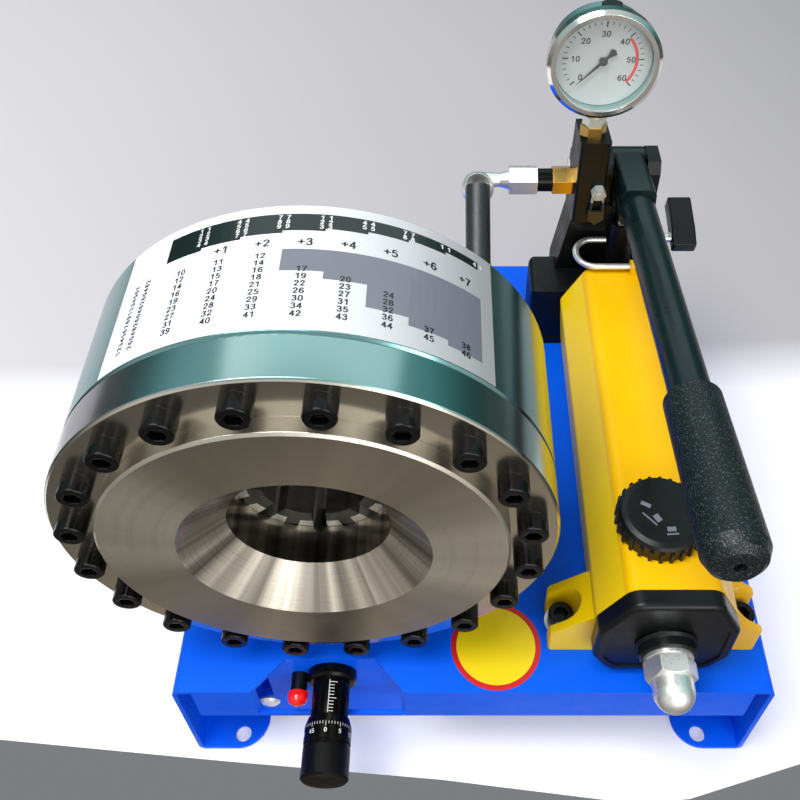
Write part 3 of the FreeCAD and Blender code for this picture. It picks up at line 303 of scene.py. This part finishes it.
def plated(name):
    """Bright zinc plating; the valve screw is duller, and the seal that hangs from it is dark lead."""
    finish = Finish(name)
    lines = finish.noise(900, 3, 0.6)
    zinc = finish.drift(finish.noise(35, 4), colour(230, 230, 226), colour(248, 248, 244))
    screw, seal = finish.inside(valve_screw), finish.inside(valve_seal)
    dull = finish.math("MULTIPLY", finish.math("MAXIMUM", screw, seal), 0.6)
    tone = finish.blend(seal, finish.blend(screw, zinc, colour(176, 180, 178)), colour(52, 48, 42))
    finish.set(Base_Color=tone, Metallic=finish.math("SUBTRACT", 0.85, dull),
               Roughness=finish.span(lines, 0.26, 0.42))
    finish.bump(lines, 0.012, 0.3)
    return finish.material


def gauge_steel(name):
    """Satin case steel, and brighter plating on the stem below the case."""
    finish = Finish(name)
    lines = finish.noise(1.0, 3, 0.6, finish.stretched(500, 2500, 500))
    case = finish.drift(finish.noise(35, 4), colour(140, 180, 178), colour(156, 196, 194))
    finish.set(Base_Color=finish.blend(finish.inside(gauge_stem), case, colour(236, 236, 224)),
               Roughness=finish.span(lines, 0.26, 0.4), Metallic=0.9)
    finish.bump(lines, 0.01, 0.3)
    return finish.material


def plastic(name, base, rough, shine):
    finish = Finish(name)
    finish.set(Base_Color=finish.around(base, 0.15, finish.noise(40, 3)), Specular_IOR_Level=shine,
               Roughness=finish.span(finish.noise(120, 3), rough * 0.85, rough * 1.15))
    finish.bump(finish.noise(700, 2), 0.03, 0.4)
    return finish.material


def turned(name, base, rough, spin, ring=5200, depth=0.006, mouth=False, rim=None):
    """Steel turned in a lathe about the head's axis: fine rings, with a highlight drawn out across them.

    mouth paints radial light and dark streaks on the cone inside the mouth from rim to throat, and fainter
    ones elsewhere, as painted reflection; rim is the tone of the outer cylinder, painted with a reflection
    that runs across the drum.
    """
    finish = Finish(name)
    axes = finish.axes()
    across = finish.math("SUBTRACT", axes["X"], head_x * MM)
    above = finish.math("SUBTRACT", axes["Z"], head_z * MM)
    squares = finish.math("ADD", finish.math("MULTIPLY", across, across),
                          finish.math("MULTIPLY", above, above))
    radius = finish.math("SQRT", squares)
    line = finish.vector(x=finish.math("ADD", radius, finish.math("MULTIPLY", axes["Y"], 0.8)))
    rings = finish.noise(ring, 4, 0.7, line)
    marks = finish.mixed(rings, finish.noise(260, 3, 0.6, line), 0.8)
    tone = finish.drift(marks, shade(base, 0.86), shade(base, 1.1))
    if mouth:
        way = finish.vector(x=finish.math("DIVIDE", across, radius), z=finish.math("DIVIDE", above, radius))
        # Painted reflection: streaks by angle round the axis, strong on the cone and fainter on the face,
        # stand in for drawn-out highlights
        streaks = finish.noise(2.3, 4, 0.58, way)
        cone = finish.math("LESS_THAN", radius, mouth_radius * MM)
        drawn = finish.ramp(streaks, (0.36, shade(base, 0.2)), (0.46, shade(base, 0.5)),
                            (0.54, shade(base, 0.95)), (0.64, shade(base, 0.55)))
        face_painted_reflection = finish.ramp(streaks, (0.34, shade(base, 0.7)), (0.6, shade(base, 1.1)))
        tone = finish.blend(cone, finish.blend(0.6, tone, face_painted_reflection), drawn)
    if rim:
        outer = finish.math("GREATER_THAN", radius, (head_radius - drum_skin) * MM)
        # Painted reflection: pale purple-grey on the drum's left, light grey, then its teal tone darkening to
        # the right
        side = finish.math("ADD", finish.math("MULTIPLY", across, 3.4), 0.5)
        drum_painted_reflection = finish.ramp(side, (0.12, colour(158, 146, 158)), (0.34, colour(206, 206, 208)), (0.5, rim),
                           (0.78, shade(rim, 0.8)))
        drum_painted_reflection = finish.blend(finish.math("MULTIPLY", marks, 0.3), drum_painted_reflection, shade(rim, 0.8))
        tone = finish.blend(outer, tone, drum_painted_reflection)
    tangent = finish.node("ShaderNodeTangent", direction_type="RADIAL", axis="Y")
    finish.set(Base_Color=tone, Roughness=finish.span(marks, rough * 0.75, rough * 1.3), Metallic=1.0,
               Anisotropic=spin, Tangent=tangent.outputs[0])
    finish.bump(rings, depth, 0.4)
    return finish.material


def speckled_foam(name):
    """Closed-cell grip foam: near black, with a pitted skin that glints where the light falls, and lighter
    specks in its colour that are painted glints.
    """
    finish = Finish(name)
    cells = finish.node("ShaderNodeTexVoronoi")
    finish.feed(cells.inputs["Scale"], 900)
    finish.feed(cells.inputs["Vector"], finish.place)
    painted_glint_specks = finish.noise(1150, 2)
    # Painted glints: the lightest specks of the colour stand in for glints of light on the skin
    finish.set(Base_Color=finish.ramp(painted_glint_specks, (0.42, colour(7, 11, 12)), (0.58, colour(20, 27, 30)),
                                      (0.7, colour(76, 94, 98))),
               Roughness=finish.span(painted_glint_specks, 0.5, 0.32), Specular_IOR_Level=0.35)
    finish.bump(cells.outputs["Distance"], 0.3, 0.5, 0.7)
    return finish.material


def hose_rubber(name):
    """Rubber cover with the fine lengthwise marks of its wrapping cloth."""
    finish = Finish(name)
    cloth = finish.noise(1.0, 2, 0.5, finish.stretched(2600, 500, 500))
    finish.set(Base_Color=finish.drift(cloth, colour(22, 25, 26), colour(54, 58, 58)), Roughness=0.38)
    finish.bump(cloth, 0.12)
    return finish.material


def glass(name):
    """A thin clear window: mostly see-through, with a reflection that grows at a slant."""
    finish = Finish(name)
    finish.set(Base_Color=(1, 1, 1, 1), Roughness=finish.span(finish.noise(90, 3), 0.01, 0.05), IOR=1.45,
               Alpha=0.05)
    return finish.material


def lamp_red(name):
    finish = Finish(name)
    finish.set(Base_Color=finish.drift(finish.noise(120, 2), colour(190, 8, 12), colour(240, 30, 24)),
               Roughness=0.12, Coat_Weight=0.6, Emission_Color=colour(255, 20, 16), Emission_Strength=0.25)
    finish.bump(finish.noise(300, 2), 0.02)
    return finish.material


def knurled(name, base, rough, grooves=44.0, pitch=4200.0, knurl_start=18.0):
    """Black chrome with a fine diamond knurl, cut by two crossed sets of waves about the axis.

    grooves are counted round the thimble and pitch is in radians to a metre along it; knurl_start is in
    millimetres in front of the thimble's rear.
    """
    finish = Finish(name)
    axes = finish.axes()
    across = finish.math("SUBTRACT", axes["X"], micrometer_x * MM)
    above = finish.math("SUBTRACT", axes["Z"], micrometer_z * MM)
    turn = finish.math("MULTIPLY", finish.math("ARCTAN2", above, across), grooves)
    run = finish.math("MULTIPLY", axes["Y"], pitch)
    cut = finish.math("MAXIMUM", finish.math("SINE", finish.math("ADD", turn, run)),
                      finish.math("SINE", finish.math("SUBTRACT", turn, run)))
    zone = finish.math("LESS_THAN", axes["Y"], (micrometer_front - thimble_gap - knurl_start) * MM)
    finish.bump(finish.math("MULTIPLY", cut, zone), 0.12, 0.3)
    finish.set(Base_Color=finish.drift(finish.noise(90, 3), shade(base, 0.8), shade(base, 1.25)),
               Metallic=0.0, Roughness=rough, Specular_IOR_Level=0.15)
    return finish.material


def printed(name, base, rough=0.35, mottle=0.03):
    finish = Finish(name)
    tone = finish.drift(finish.noise(50, 3), shade(base, 1 - mottle), shade(base, 1 + mottle * 0.5))
    finish.set(Base_Color=tone, Roughness=rough, Coat_Weight=0.25, Coat_Roughness=0.15)
    finish.bump(finish.noise(420, 2), 0.01)
    return finish.material


def chart_paper(name):
    """Satin paper, painted greyer on its side towards the pump as shade where the sheet curves away from the
    light.
    """
    finish = Finish(name)
    across = finish.math("ADD", finish.math("MULTIPLY", finish.axes()["X"], 6.0), 0.72)
    grain = finish.math("MULTIPLY", finish.noise(220, 3), 0.05)
    # Painted shade: the sheet darkens from left to right across the drum
    tone = finish.ramp(finish.math("ADD", across, grain), (0.0, colour(238, 241, 250)),
                       (0.35, colour(212, 218, 222)), (0.75, colour(158, 162, 164)))
    finish.set(Base_Color=tone, Roughness=0.34, Specular_IOR_Level=0.35)
    finish.bump(finish.noise(500, 2), 0.01)
    return finish.material


def spline_piece(name, points, radius, material, body):
    """A round cord on a smooth spline with the given control points, in millimetres."""
    curve = bpy.data.curves.new(name, "CURVE")
    curve.dimensions = "3D"
    curve.bevel_depth = radius * MM
    curve.bevel_resolution = 8
    curve.resolution_u = 24
    curve.use_fill_caps = True
    spline = curve.splines.new("NURBS")
    spline.points.add(len(points) - 1)
    for point, place in zip(spline.points, points):
        point.co = (*(value * MM for value in place), 1.0)
    spline.order_u = 3
    spline.use_endpoint_u = True
    curve.materials.append(material)
    thing = bpy.data.objects.new(name, curve)
    bpy.context.scene.collection.objects.link(thing)
    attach(thing, body)
    return thing


rubber = hose_rubber("hose_rubber")
hose = spline_piece("hose_line", hose_points, hose_diameter / 2, rubber, "machine")
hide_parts("pressure_hose")


finishes = {
    "blue_paint": paint("blue_paint", colour(0, 98, 255), 0.45, peel=0.04, coat=0.03, shine=0.12),
    # The yellow's left tone is painted light on the pump's slope in the head's shade
    "yellow_paint": paint("yellow_paint", colour(250, 192, 0), 0.36, peel=0.07, coat=0.1, shine=0.2,
                          peel_scale=120, edge=1.2, left=colour(255, 213, 0)),
    "black_paint": paint("black_paint", colour(8, 12, 13), 0.4, peel=0.25, coat=0.06, shine=0.22,
                         peel_scale=420, mottle=0.2),
    "lever_paint": paint("lever_paint", colour(11, 28, 30), 0.28, peel=0.03, coat=0.1, shine=0.28,
                         mottle=0.1, edge=0.8),
    # rim's tone is painted with a reflection that runs across the drum
    "polished_steel": turned("polished_steel", colour(226, 218, 204), 0.17, 0.3, rim=colour(156, 188, 186)),
    # mouth=True paints reflection streaks on the cone and on the face round it
    "turned_steel": turned("turned_steel", colour(208, 200, 186), 0.3, 0.9, mouth=True),
    "cylinder_steel": turned("cylinder_steel", colour(132, 176, 178), 0.16, 0.4, ring=3800, depth=0.003),
    "black_oxide": blackened("black_oxide"),
    "die_steel": metal("die_steel", colour(226, 221, 212), 0.36, (400, 3000, 400), mottle=0.15, metallic=0.8),
    "zinc": plated("zinc"),
    "brass": metal("brass", colour(206, 164, 84), 0.22, (2500, 500, 500), mottle=0.1),
    "black_plastic": moulded("black_plastic"),
    "foam_grip": speckled_foam("foam_grip"),
    "hose_rubber": rubber,
    "black_steel": knurled("black_steel", colour(6, 6, 6), 0.2),
    "chrome": metal("chrome", colour(226, 224, 220), 0.09, mottle=0.03, depth=0.003),
    "case_steel": gauge_steel("case_steel"),
    "dial_white": printed("dial_white", colour(190, 196, 194)),
    "glass": glass("glass"),
    "red_lamp": lamp_red("red_lamp"),
    "pointer_black": plastic("pointer_black", colour(5, 5, 5), 0.5, shine=0.1),
}
ink = {
    "paper": chart_paper("chart_paper"),
    "black": printed("chart_black", colour(8, 12, 12), 0.3, 0.15),
    "grey": printed("chart_grey", colour(112, 114, 126), 0.34),
    "red": printed("mark_red", colour(214, 26, 34)),
    "yellow": printed("sign_yellow", colour(255, 224, 4)),
    "white": printed("mark_white", colour(216, 218, 216), 0.4),
}

for entry in frame["record"]["subparts"]:
    thing = nodes[entry["node"]]
    thing.data.materials.clear()
    thing.data.materials.append(finishes[entry["material_slot"]])


# Each figure as one line of strokes, 0 to 0.6 across and 0 to 1 up
strokes = {
    "0": [(0.1, 0.3), (0.1, 0.7), (0.18, 0.92), (0.3, 1), (0.42, 0.92), (0.5, 0.7), (0.5, 0.3), (0.42, 0.08),
          (0.3, 0), (0.18, 0.08), (0.1, 0.3)],
    "1": [(0.12, 0.74), (0.36, 0.98), (0.36, 0)],
    "2": [(0.1, 0.72), (0.15, 0.92), (0.3, 1), (0.45, 0.92), (0.48, 0.7), (0.38, 0.48), (0.1, 0.05),
          (0.52, 0.05)],
    "3": [(0.1, 0.82), (0.2, 0.97), (0.38, 0.97), (0.47, 0.8), (0.4, 0.58), (0.26, 0.54), (0.43, 0.48),
          (0.51, 0.28), (0.41, 0.05), (0.2, 0.02), (0.09, 0.2)],
    "4": [(0.4, 0), (0.4, 0.98), (0.06, 0.3), (0.55, 0.3)],
    "5": [(0.48, 0.96), (0.17, 0.96), (0.12, 0.54), (0.3, 0.62), (0.46, 0.54), (0.51, 0.32), (0.42, 0.06),
          (0.22, 0.02), (0.09, 0.16)],
    "6": [(0.49, 0.84), (0.38, 0.98), (0.22, 0.94), (0.11, 0.64), (0.1, 0.28), (0.2, 0.05), (0.38, 0.02),
          (0.5, 0.18), (0.5, 0.4), (0.38, 0.57), (0.2, 0.54), (0.1, 0.38)],
    "7": [(0.08, 0.95), (0.52, 0.95), (0.32, 0.5), (0.24, 0)],
    "8": [(0.3, 0.53), (0.15, 0.65), (0.15, 0.87), (0.3, 0.99), (0.45, 0.87), (0.45, 0.65), (0.3, 0.53),
          (0.1, 0.38), (0.1, 0.14), (0.3, 0.01), (0.5, 0.14), (0.5, 0.38), (0.3, 0.53)],
}
strokes["9"] = [(0.6 - x, 1 - y) for x, y in strokes["6"]]
plus = [[(0.06, 0.5), (0.54, 0.5)], [(0.3, 0.22), (0.3, 0.78)]]

# A figure's step and middle across, as shares of its height before it is stretched across; half the
# width of its strokes, and how far they overrun their ends as a share of that
figure_pitch, figure_middle = 0.66, 0.3
figure_stretch = 1.3
stroke_weight = 0.085
stroke_overrun = 0.6


def drawn_figures(words, size, weight=stroke_weight):
    """Vertices and faces of a line of figures of the given height, centred, each drawn as broad strokes."""
    points, faces = [], []
    for place, sign in enumerate(words):
        shift = (place - (len(words) - 1) / 2) * figure_pitch - figure_middle
        for line in plus if sign == "+" else [strokes[sign]]:
            for (x0, y0), (x1, y1) in zip(line, line[1:]):
                run = math.hypot(x1 - x0, y1 - y0)
                ax, ay = (x1 - x0) / run * weight, (y1 - y0) / run * weight
                back, on = -stroke_overrun, stroke_overrun
                start = len(points)
                for x, y, along, side in ((x0, y0, back, -1), (x1, y1, on, -1), (x1, y1, on, 1),
                                          (x0, y0, back, 1)):
                    points.append(((x + shift + ax * along - ay * side) * size * figure_stretch,
                                   (y - 0.5 + ay * along + ax * side) * size))
                faces.append((start, start + 1, start + 2, start + 3))
    return points, faces


class Print:
    """Flat shapes gathered in a plane, then laid on a surface by a mapping of (u, v) to a point."""

    def __init__(self):
        self.points = []
        self.faces = []

    def add(self, points, faces, u=0.0, v=0.0, turn=0.0):
        start = len(self.points)
        c, s = math.cos(math.radians(turn)), math.sin(math.radians(turn))
        self.points += [(u + x * c - y * s, v + x * s + y * c) for x, y in points]
        self.faces += [tuple(start + index for index in face) for face in faces]

    def figures(self, words, size, u, v, turn=0.0, weight=stroke_weight):
        self.add(*drawn_figures(words, size, weight), u, v, turn)

    def patch(self, u0, v0, u1, v1, steps=1):
        points = []
        for k in range(steps + 1):
            u = u0 + (u1 - u0) * k / steps
            points += [(u, v0), (u, v1)]
        self.add(points, [(2 * k, 2 * k + 2, 2 * k + 3, 2 * k + 1) for k in range(steps)])

    def bar(self, u, v, width, length, turn=0.0):
        w, h = width / 2, length / 2
        self.add([(-w, -h), (w, -h), (w, h), (-w, h)], [(0, 1, 2, 3)], u, v, turn)

    def arc(self, radius, width, start, end, steps=24):
        points = []
        for k in range(steps + 1):
            a = math.radians(start + (end - start) * k / steps)
            for r in (radius - width / 2, radius + width / 2):
                points.append((r * math.cos(a), r * math.sin(a)))
        self.add(points, [(2 * k, 2 * k + 1, 2 * k + 3, 2 * k + 2) for k in range(steps)])

    def lay(self, name, mapping, material, body="machine"):
        """Makes the piece from points in millimetres. Every print counts as the dial's white slot."""
        mesh = bpy.data.meshes.new(name)
        places = [tuple(value * MM for value in mapping(u, v)) for u, v in self.points]
        mesh.from_pydata(places, [], self.faces)
        mesh.materials.append(material)
        thing = bpy.data.objects.new(name, mesh)
        bpy.context.scene.collection.objects.link(thing)
        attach(thing, body)


# How far each layer of print stands off its surface, in millimetres
sheet_lift, field_lift, figure_lift = 0.1, 0.16, 0.22
disc_lift, rim_lift = 0.1, 0.12
red_lift, dial_lift = 0.12, 0.15
sleeve_lift, thimble_lift = 0.06, 0.05
cap_lift = 0.08

# The chart, in degrees round the drum from its top and in millimetres behind the head's front
chart_left, chart_right = -44.0, 46.7
chart_front, chart_rear = 38.6, 122.3
column_step = 9.1
first_column = -25.3
first_cell = -30.5
row_front, row_step = 48.2, 4.8
band_front, band_rear, band_slant = 98.5, 116.0, 1.75
field_rear = 90.5
field_edges = [(-2.6, 75.7), (6.5, 70.9), (15.6, 56.5), (24.7, 51.6), (33.8, 48.3), (42.9, 48.3)]
heading_front, heading_slant = 94.6, 0.35
columns = [[39, 31, 27, 23, 19, 16, 14, 12, 10], [40, 32, 28, 24, 20, 17, 15, 13, 11],
           [41, 33, 29, 25, 21, 18, 16, 14, 12], [42, 34, 30, 26, 22, 19, 17], [43, 35, 31, 27, 23, 20],
           [44, 36, 32, 28, 24], [45, 37], [46, 38]]
margin_columns = (-38.4, -35.0)
margin_rows, margin_step = 16, 2.9

# Heights and weights of the chart's figures, and the rows of those in the band, in millimetres
column_size, heading_size, margin_size, band_size = 3.3, 4.6, 2.9, 2.7
heading_weight, band_weight = 0.08, 0.1
band_side, band_inset, band_clearance = 2.1, 2.4, 1.5
band_rows, band_step = 4, 3.4


def on_drum(lift):
    """Maps (millimetres round the drum from its top, millimetres behind the head's front) to the drum."""
    def mapping(u, v):
        turn = u / head_radius
        reach = head_radius + lift
        return (head_x + reach * math.sin(turn), head_front + v, head_z + reach * math.cos(turn))
    return mapping


def arc_length(degrees):
    return math.radians(degrees) * head_radius


def print_chart():
    """The size chart on the drum: a pale sheet, a black band, a grey stepped field and plain numbers."""
    sheet = Print()
    sheet.patch(arc_length(chart_left), chart_front, arc_length(chart_right), chart_rear, 60)
    sheet.lay("chart_sheet", on_drum(sheet_lift), ink["paper"])

    cells = [first_cell + column_step * k for k in range(len(columns) + 1)]
    band = Print()
    for k, (left, right) in enumerate(zip(cells, cells[1:])):
        band.patch(arc_length(left), band_front + band_slant * k, arc_length(right), band_rear, 4)
    band.lay("chart_band", on_drum(field_lift), ink["black"])

    field = Print()
    for (left, front), (right, _) in zip(field_edges, field_edges[1:]):
        field.patch(arc_length(left), front, arc_length(right), field_rear, 5)
    field.lay("chart_field", on_drum(field_lift), ink["grey"])

    figures = Print()
    for k, column in enumerate(columns):
        middle = arc_length(first_column + column_step * k)
        for row, value in enumerate(column):
            figures.figures(str(value), column_size, middle, row_front + row_step * row)
        if k:
            figures.figures(f"+{k}", heading_size, middle, heading_front + heading_slant * k,
                            weight=heading_weight)
    for row in range(margin_rows):
        for angle, value in zip(margin_columns, (row % 9 + 1, (row * 4 + 2) % 10)):
            figures.figures(str(value), margin_size, arc_length(angle), row_front + margin_step * row, 90)
    figures.lay("chart_figures", on_drum(figure_lift), ink["black"])

    band_figures = Print()
    for k, angle in enumerate(cells[1:]):
        for u in (arc_length(angle) - band_side, arc_length(angle) + band_side):
            for row in range(band_rows):
                v = band_rear - band_inset - band_step * row
                if v > band_front + band_slant * k + band_clearance:
                    band_figures.figures(str((3 * k + row) % 9 + 1), band_size, u, v, weight=band_weight)
    band_figures.lay("chart_band_figures", on_drum(figure_lift), ink["white"])


# The round sign on the plate; its disc runs a little way under its rim
sign_centre = (14.8, -157.5)
sign_radius = 28.5
sign_rim = 3.4
sign_overlap = 0.2
sign_steps = 64


def on_plate(x, y, lift):
    return lambda u, v: (x + u, y + v, plate_top + lift)


def print_sign():
    """Plain two-colour disc on the plate."""
    rim = Print()
    rim.arc(sign_radius - sign_rim / 2, sign_rim, 0, 360, sign_steps)
    rim.lay("sign_rim", on_plate(*sign_centre, rim_lift), ink["red"])
    disc = Print()
    disc_radius = sign_radius - sign_rim + sign_overlap
    disc.arc(disc_radius / 2, disc_radius, 0, 360, sign_steps)
    disc.lay("sign_disc", on_plate(*sign_centre, disc_lift), ink["yellow"])


# The dial, with angles in degrees anticlockwise from the right, and marks as radius, width and length
dial_zero, dial_sweep = 220.0, 262.0
dial_divisions, dial_parts, dial_units = 6, 5, 10
long_mark = (24.2, 0.9, 3.8)
short_mark = (24.9, 0.5, 2.4)
dial_figure_radius, dial_figure_size = 17.8, 3.6
red_radius, red_width = 21.6, 2.0
red_start, red_end, red_steps = -42, 44, 20


def on_dial(lift):
    """Maps dial coordinates to the leaned face of the gauge."""
    lean = math.radians(gauge_lean)
    x0, y0, z0 = gauge_foot

    def mapping(u, v):
        forward, up = dial_face - lift, gauge_height + v
        return (x0 + u, y0 + forward * math.cos(lean) + up * math.sin(lean),
                z0 - forward * math.sin(lean) + up * math.cos(lean))
    return mapping


def print_dial():
    """The gauge's marks, its plain numbers and a red arc."""
    marks, figures, red_zone = Print(), Print(), Print()
    steps = dial_divisions * dial_parts
    for k in range(steps + 1):
        degrees = dial_zero - dial_sweep * k / steps
        c, s = math.cos(math.radians(degrees)), math.sin(math.radians(degrees))
        division, part = divmod(k, dial_parts)
        radius, width, length = short_mark if part else long_mark
        marks.bar(radius * c, radius * s, width, length, degrees - 90)
        if not part:
            figures.figures(str(division * dial_units), dial_figure_size, dial_figure_radius * c,
                            dial_figure_radius * s)
    marks.lay("dial_marks", on_dial(dial_lift), ink["black"])
    figures.lay("dial_figures", on_dial(dial_lift), ink["black"])
    red_zone.arc(red_radius, red_width, red_start, red_end, red_steps)
    red_zone.lay("dial_red_zone", on_dial(red_lift), ink["red"])


# The micrometer's scales, in degrees from the top and in millimetres in front of the bracket; the
# thimble's are in front of its rear
scale_side = 1.1
scale_start, scale_end = 9.0, 29.4
scale_marks, scale_first, scale_step = 10, 10.5, 2.0
scale_mark_half, scale_mark_steps = 0.22, 3
scale_short, scale_long = 16.0, 24.0
thimble_divisions, thimble_parts = 50, 5
thimble_mark_half = 0.7
thimble_mark_start, thimble_short, thimble_long = 5.4, 7.0, 8.2
thimble_figures_at, thimble_figure_size = 10.6, 2.4


def round_micrometer(radius):
    """Maps (degrees from the top, millimetres in front of the bracket) to a barrel of the micrometer."""
    def mapping(u, v):
        turn = math.radians(u)
        return (micrometer_x + radius * math.sin(turn), micrometer_front - v,
                micrometer_z + radius * math.cos(turn))
    return mapping


def print_micrometer():
    """The scale along the sleeve, and the marks and plain numbers round the thimble."""
    scale = Print()
    scale.patch(-scale_side, scale_start, scale_side, scale_end)
    for k in range(scale_marks):
        v = scale_first + scale_step * k
        end = scale_short if k % 5 else scale_long
        scale.patch(scale_side, v - scale_mark_half, end, v + scale_mark_half, scale_mark_steps)
    scale.lay("sleeve_scale", round_micrometer(sleeve_radius + sleeve_lift), ink["white"])

    barrel = thimble_radius + thimble_lift
    marks, figures = Print(), Print()
    for k in range(thimble_divisions):
        turn = 360 / thimble_divisions * k
        end = thimble_short if k % thimble_parts else thimble_long
        marks.patch(turn - thimble_mark_half, thimble_gap + thimble_mark_start,
                    turn + thimble_mark_half, thimble_gap + end)
        if k % thimble_parts == 0:
            points, faces = drawn_figures(str(k), thimble_figure_size)
            points = [(math.degrees(x / barrel), -y) for x, y in points]
            figures.add(points, faces, turn, thimble_gap + thimble_figures_at)
    marks.lay("thimble_marks", round_micrometer(barrel), ink["white"], "thimble")
    figures.lay("thimble_figures", round_micrometer(barrel), ink["white"], "thimble")


# Bars on the filler cap: the place from its centre, the width and length, and the turn in degrees
cap_bars = [(-9.0, 4.6, 2.6, 6.0, 62), (-8.0, -5.0, 1.0, 11.0, 42), (-3.4, -4.4, 3.6, 5.0, 30),
            (3.6, -11.6, 5.2, 3.0, 4), (3.8, -14.8, 7.0, 1.1, 4)]


def print_cap():
    """Plain marks on the filler cap."""
    marks = Print()
    for bar in cap_bars:
        marks.bar(*bar)
    x, y, z = cap_centre
    marks.lay("cap_marks", lambda u, v: (x + u, y + v, z + cap_lift), ink["grey"], "cap")


print_chart()
print_sign()
print_dial()
print_micrometer()
print_cap()


# The table top's outline and level, in millimetres
table_outline = [(-1300, -95), (-327, -181), (-170, -195), (-20, -207), (110, -222), (146, -219), (225, -197),
                 (1300, 100), (1300, 1500), (-1300, 1500)]
table_level = -0.6

# Where the table turns to the backdrop, in metres from front to back, how that line slants and wanders,
# and how far to each side the backdrop's painted shade reaches
backdrop_start, backdrop_end = 0.13, 0.19
backdrop_slant, backdrop_wander = -0.04, 0.03
backdrop_reach = 0.9

# How much of its own tone the table gives off where the camera sees it
camera_glow = 0.16


def floor_and_backdrop():
    """A plain pale table top that turns to a grey backdrop behind the machine, with painted shade that
    darkens the backdrop to the right.
    """
    finish = Finish("floor")
    axes = finish.axes()
    veins = finish.noise(2.2, 6, 0.62)
    way = finish.math("ADD", axes["Y"], finish.math("MULTIPLY", axes["X"], backdrop_slant))
    way = finish.math("ADD", way, finish.math("MULTIPLY", veins, backdrop_wander))
    table = finish.ramp(veins, (0.35, colour(236, 237, 239)), (0.65, colour(250, 250, 251)))
    side = finish.rescale(axes["X"], -backdrop_reach, backdrop_reach)
    # Painted shade: the backdrop grows darker from left to right
    backdrop_painted_shade = finish.ramp(side, (0.1, colour(214, 213, 216)), (0.45, colour(190, 189, 192)),
                       (0.9, colour(160, 160, 163)))
    tone = finish.blend(finish.rescale(way, backdrop_start, backdrop_end), table, backdrop_painted_shade)
    seen = finish.node("ShaderNodeLightPath").outputs["Is Camera Ray"]
    finish.set(Base_Color=tone, Roughness=0.6, Specular_IOR_Level=0.1, Emission_Color=tone,
               Emission_Strength=finish.math("MULTIPLY", seen, camera_glow))
    mesh = bpy.data.meshes.new("floor")
    mesh.from_pydata([(x * MM, y * MM, table_level * MM) for x, y in table_outline], [],
                     [tuple(range(len(table_outline)))])
    mesh.materials.append(finish.material)
    floor = bpy.data.objects.new("floor", mesh)
    bpy.context.scene.collection.objects.link(floor)


def area_light(name, place, aim, size, power):
    """A white panel of light, in metres and watts."""
    data = bpy.data.lights.new(name, "AREA")
    data.shape = "RECTANGLE"
    data.size, data.size_y = size
    data.energy = power
    light = bpy.data.objects.new(name, data)
    light.location = place
    light.rotation_euler = (Vector(aim) - Vector(place)).to_track_quat("-Z", "Y").to_euler()
    bpy.context.scene.collection.objects.link(light)


# What bright metal reflects behind the machine and in front of it, from straight below (0) to
# straight above (1)
rear_tones = [(0.0, (0.10, 0.09, 0.08)), (0.42, (0.1, 0.11, 0.1)), (0.49, (0.1, 0.13, 0.12)),
              (0.51, (0.05, 0.08, 0.08)), (0.6, (0.06, 0.17, 0.17)), (0.72, (0.17, 0.42, 0.43)),
              (0.86, (0.3, 0.52, 0.52)), (1.0, (0.72, 0.8, 0.8))]
front_tones = [(0.02, (0.8, 0.7, 0.52)), (0.065, (0.36, 0.32, 0.25)), (0.11, (0.08, 0.08, 0.075)),
               (0.3, (0.25, 0.23, 0.21)), (0.47, (0.6, 0.57, 0.52)), (0.62, (0.72, 0.7, 0.66)),
               (0.8, (0.5, 0.55, 0.56)), (1.0, (0.9, 0.92, 0.92))]

# How far forward a reflection points where the front tones start, and where they are all it shows
front_start, front_full = -0.15, -0.6

# The light that everything else gets from the room, and the room as the camera sees it
room_light = (0.3, 0.305, 0.315, 1.0)
room_seen = (0.2, 0.21, 0.22, 1.0)


def studio():
    """An even room with three panels of light, and tones of its own for what shines."""
    world = bpy.data.worlds.new("studio")
    bpy.context.scene.world = world
    world.use_nodes = True
    sky = Nodes(world.node_tree, "Generated")
    axes = sky.axes()
    height = sky.rescale(axes["Z"], -1.0, 1.0)
    facing = sky.rescale(axes["Y"], front_start, front_full, curve="SMOOTHSTEP")
    reflected = sky.blend(facing, sky.ramp(height, *rear_tones), sky.ramp(height, *front_tones))
    rays = sky.node("ShaderNodeLightPath").outputs
    tone = sky.blend(rays["Is Glossy Ray"], room_light, reflected)
    background = world.node_tree.nodes["Background"]
    sky.feed(background.inputs["Color"], sky.blend(rays["Is Camera Ray"], tone, room_seen))
    background.inputs["Strength"].default_value = 1.0
    area_light("key", (-0.5, -0.35, 1.85), (0, 0, 0.15), (0.9, 0.9), 30)
    area_light("fill", (0.5, -1.5, 0.8), (0, 0, 0.15), (1.2, 0.8), 13)
    area_light("back", (0.0, 1.5, 1.5), (0, 0, 0.2), (2.4, 1.2), 7)


floor_and_backdrop()
studio()
bpy.context.scene.view_settings.view_transform = "Standard"
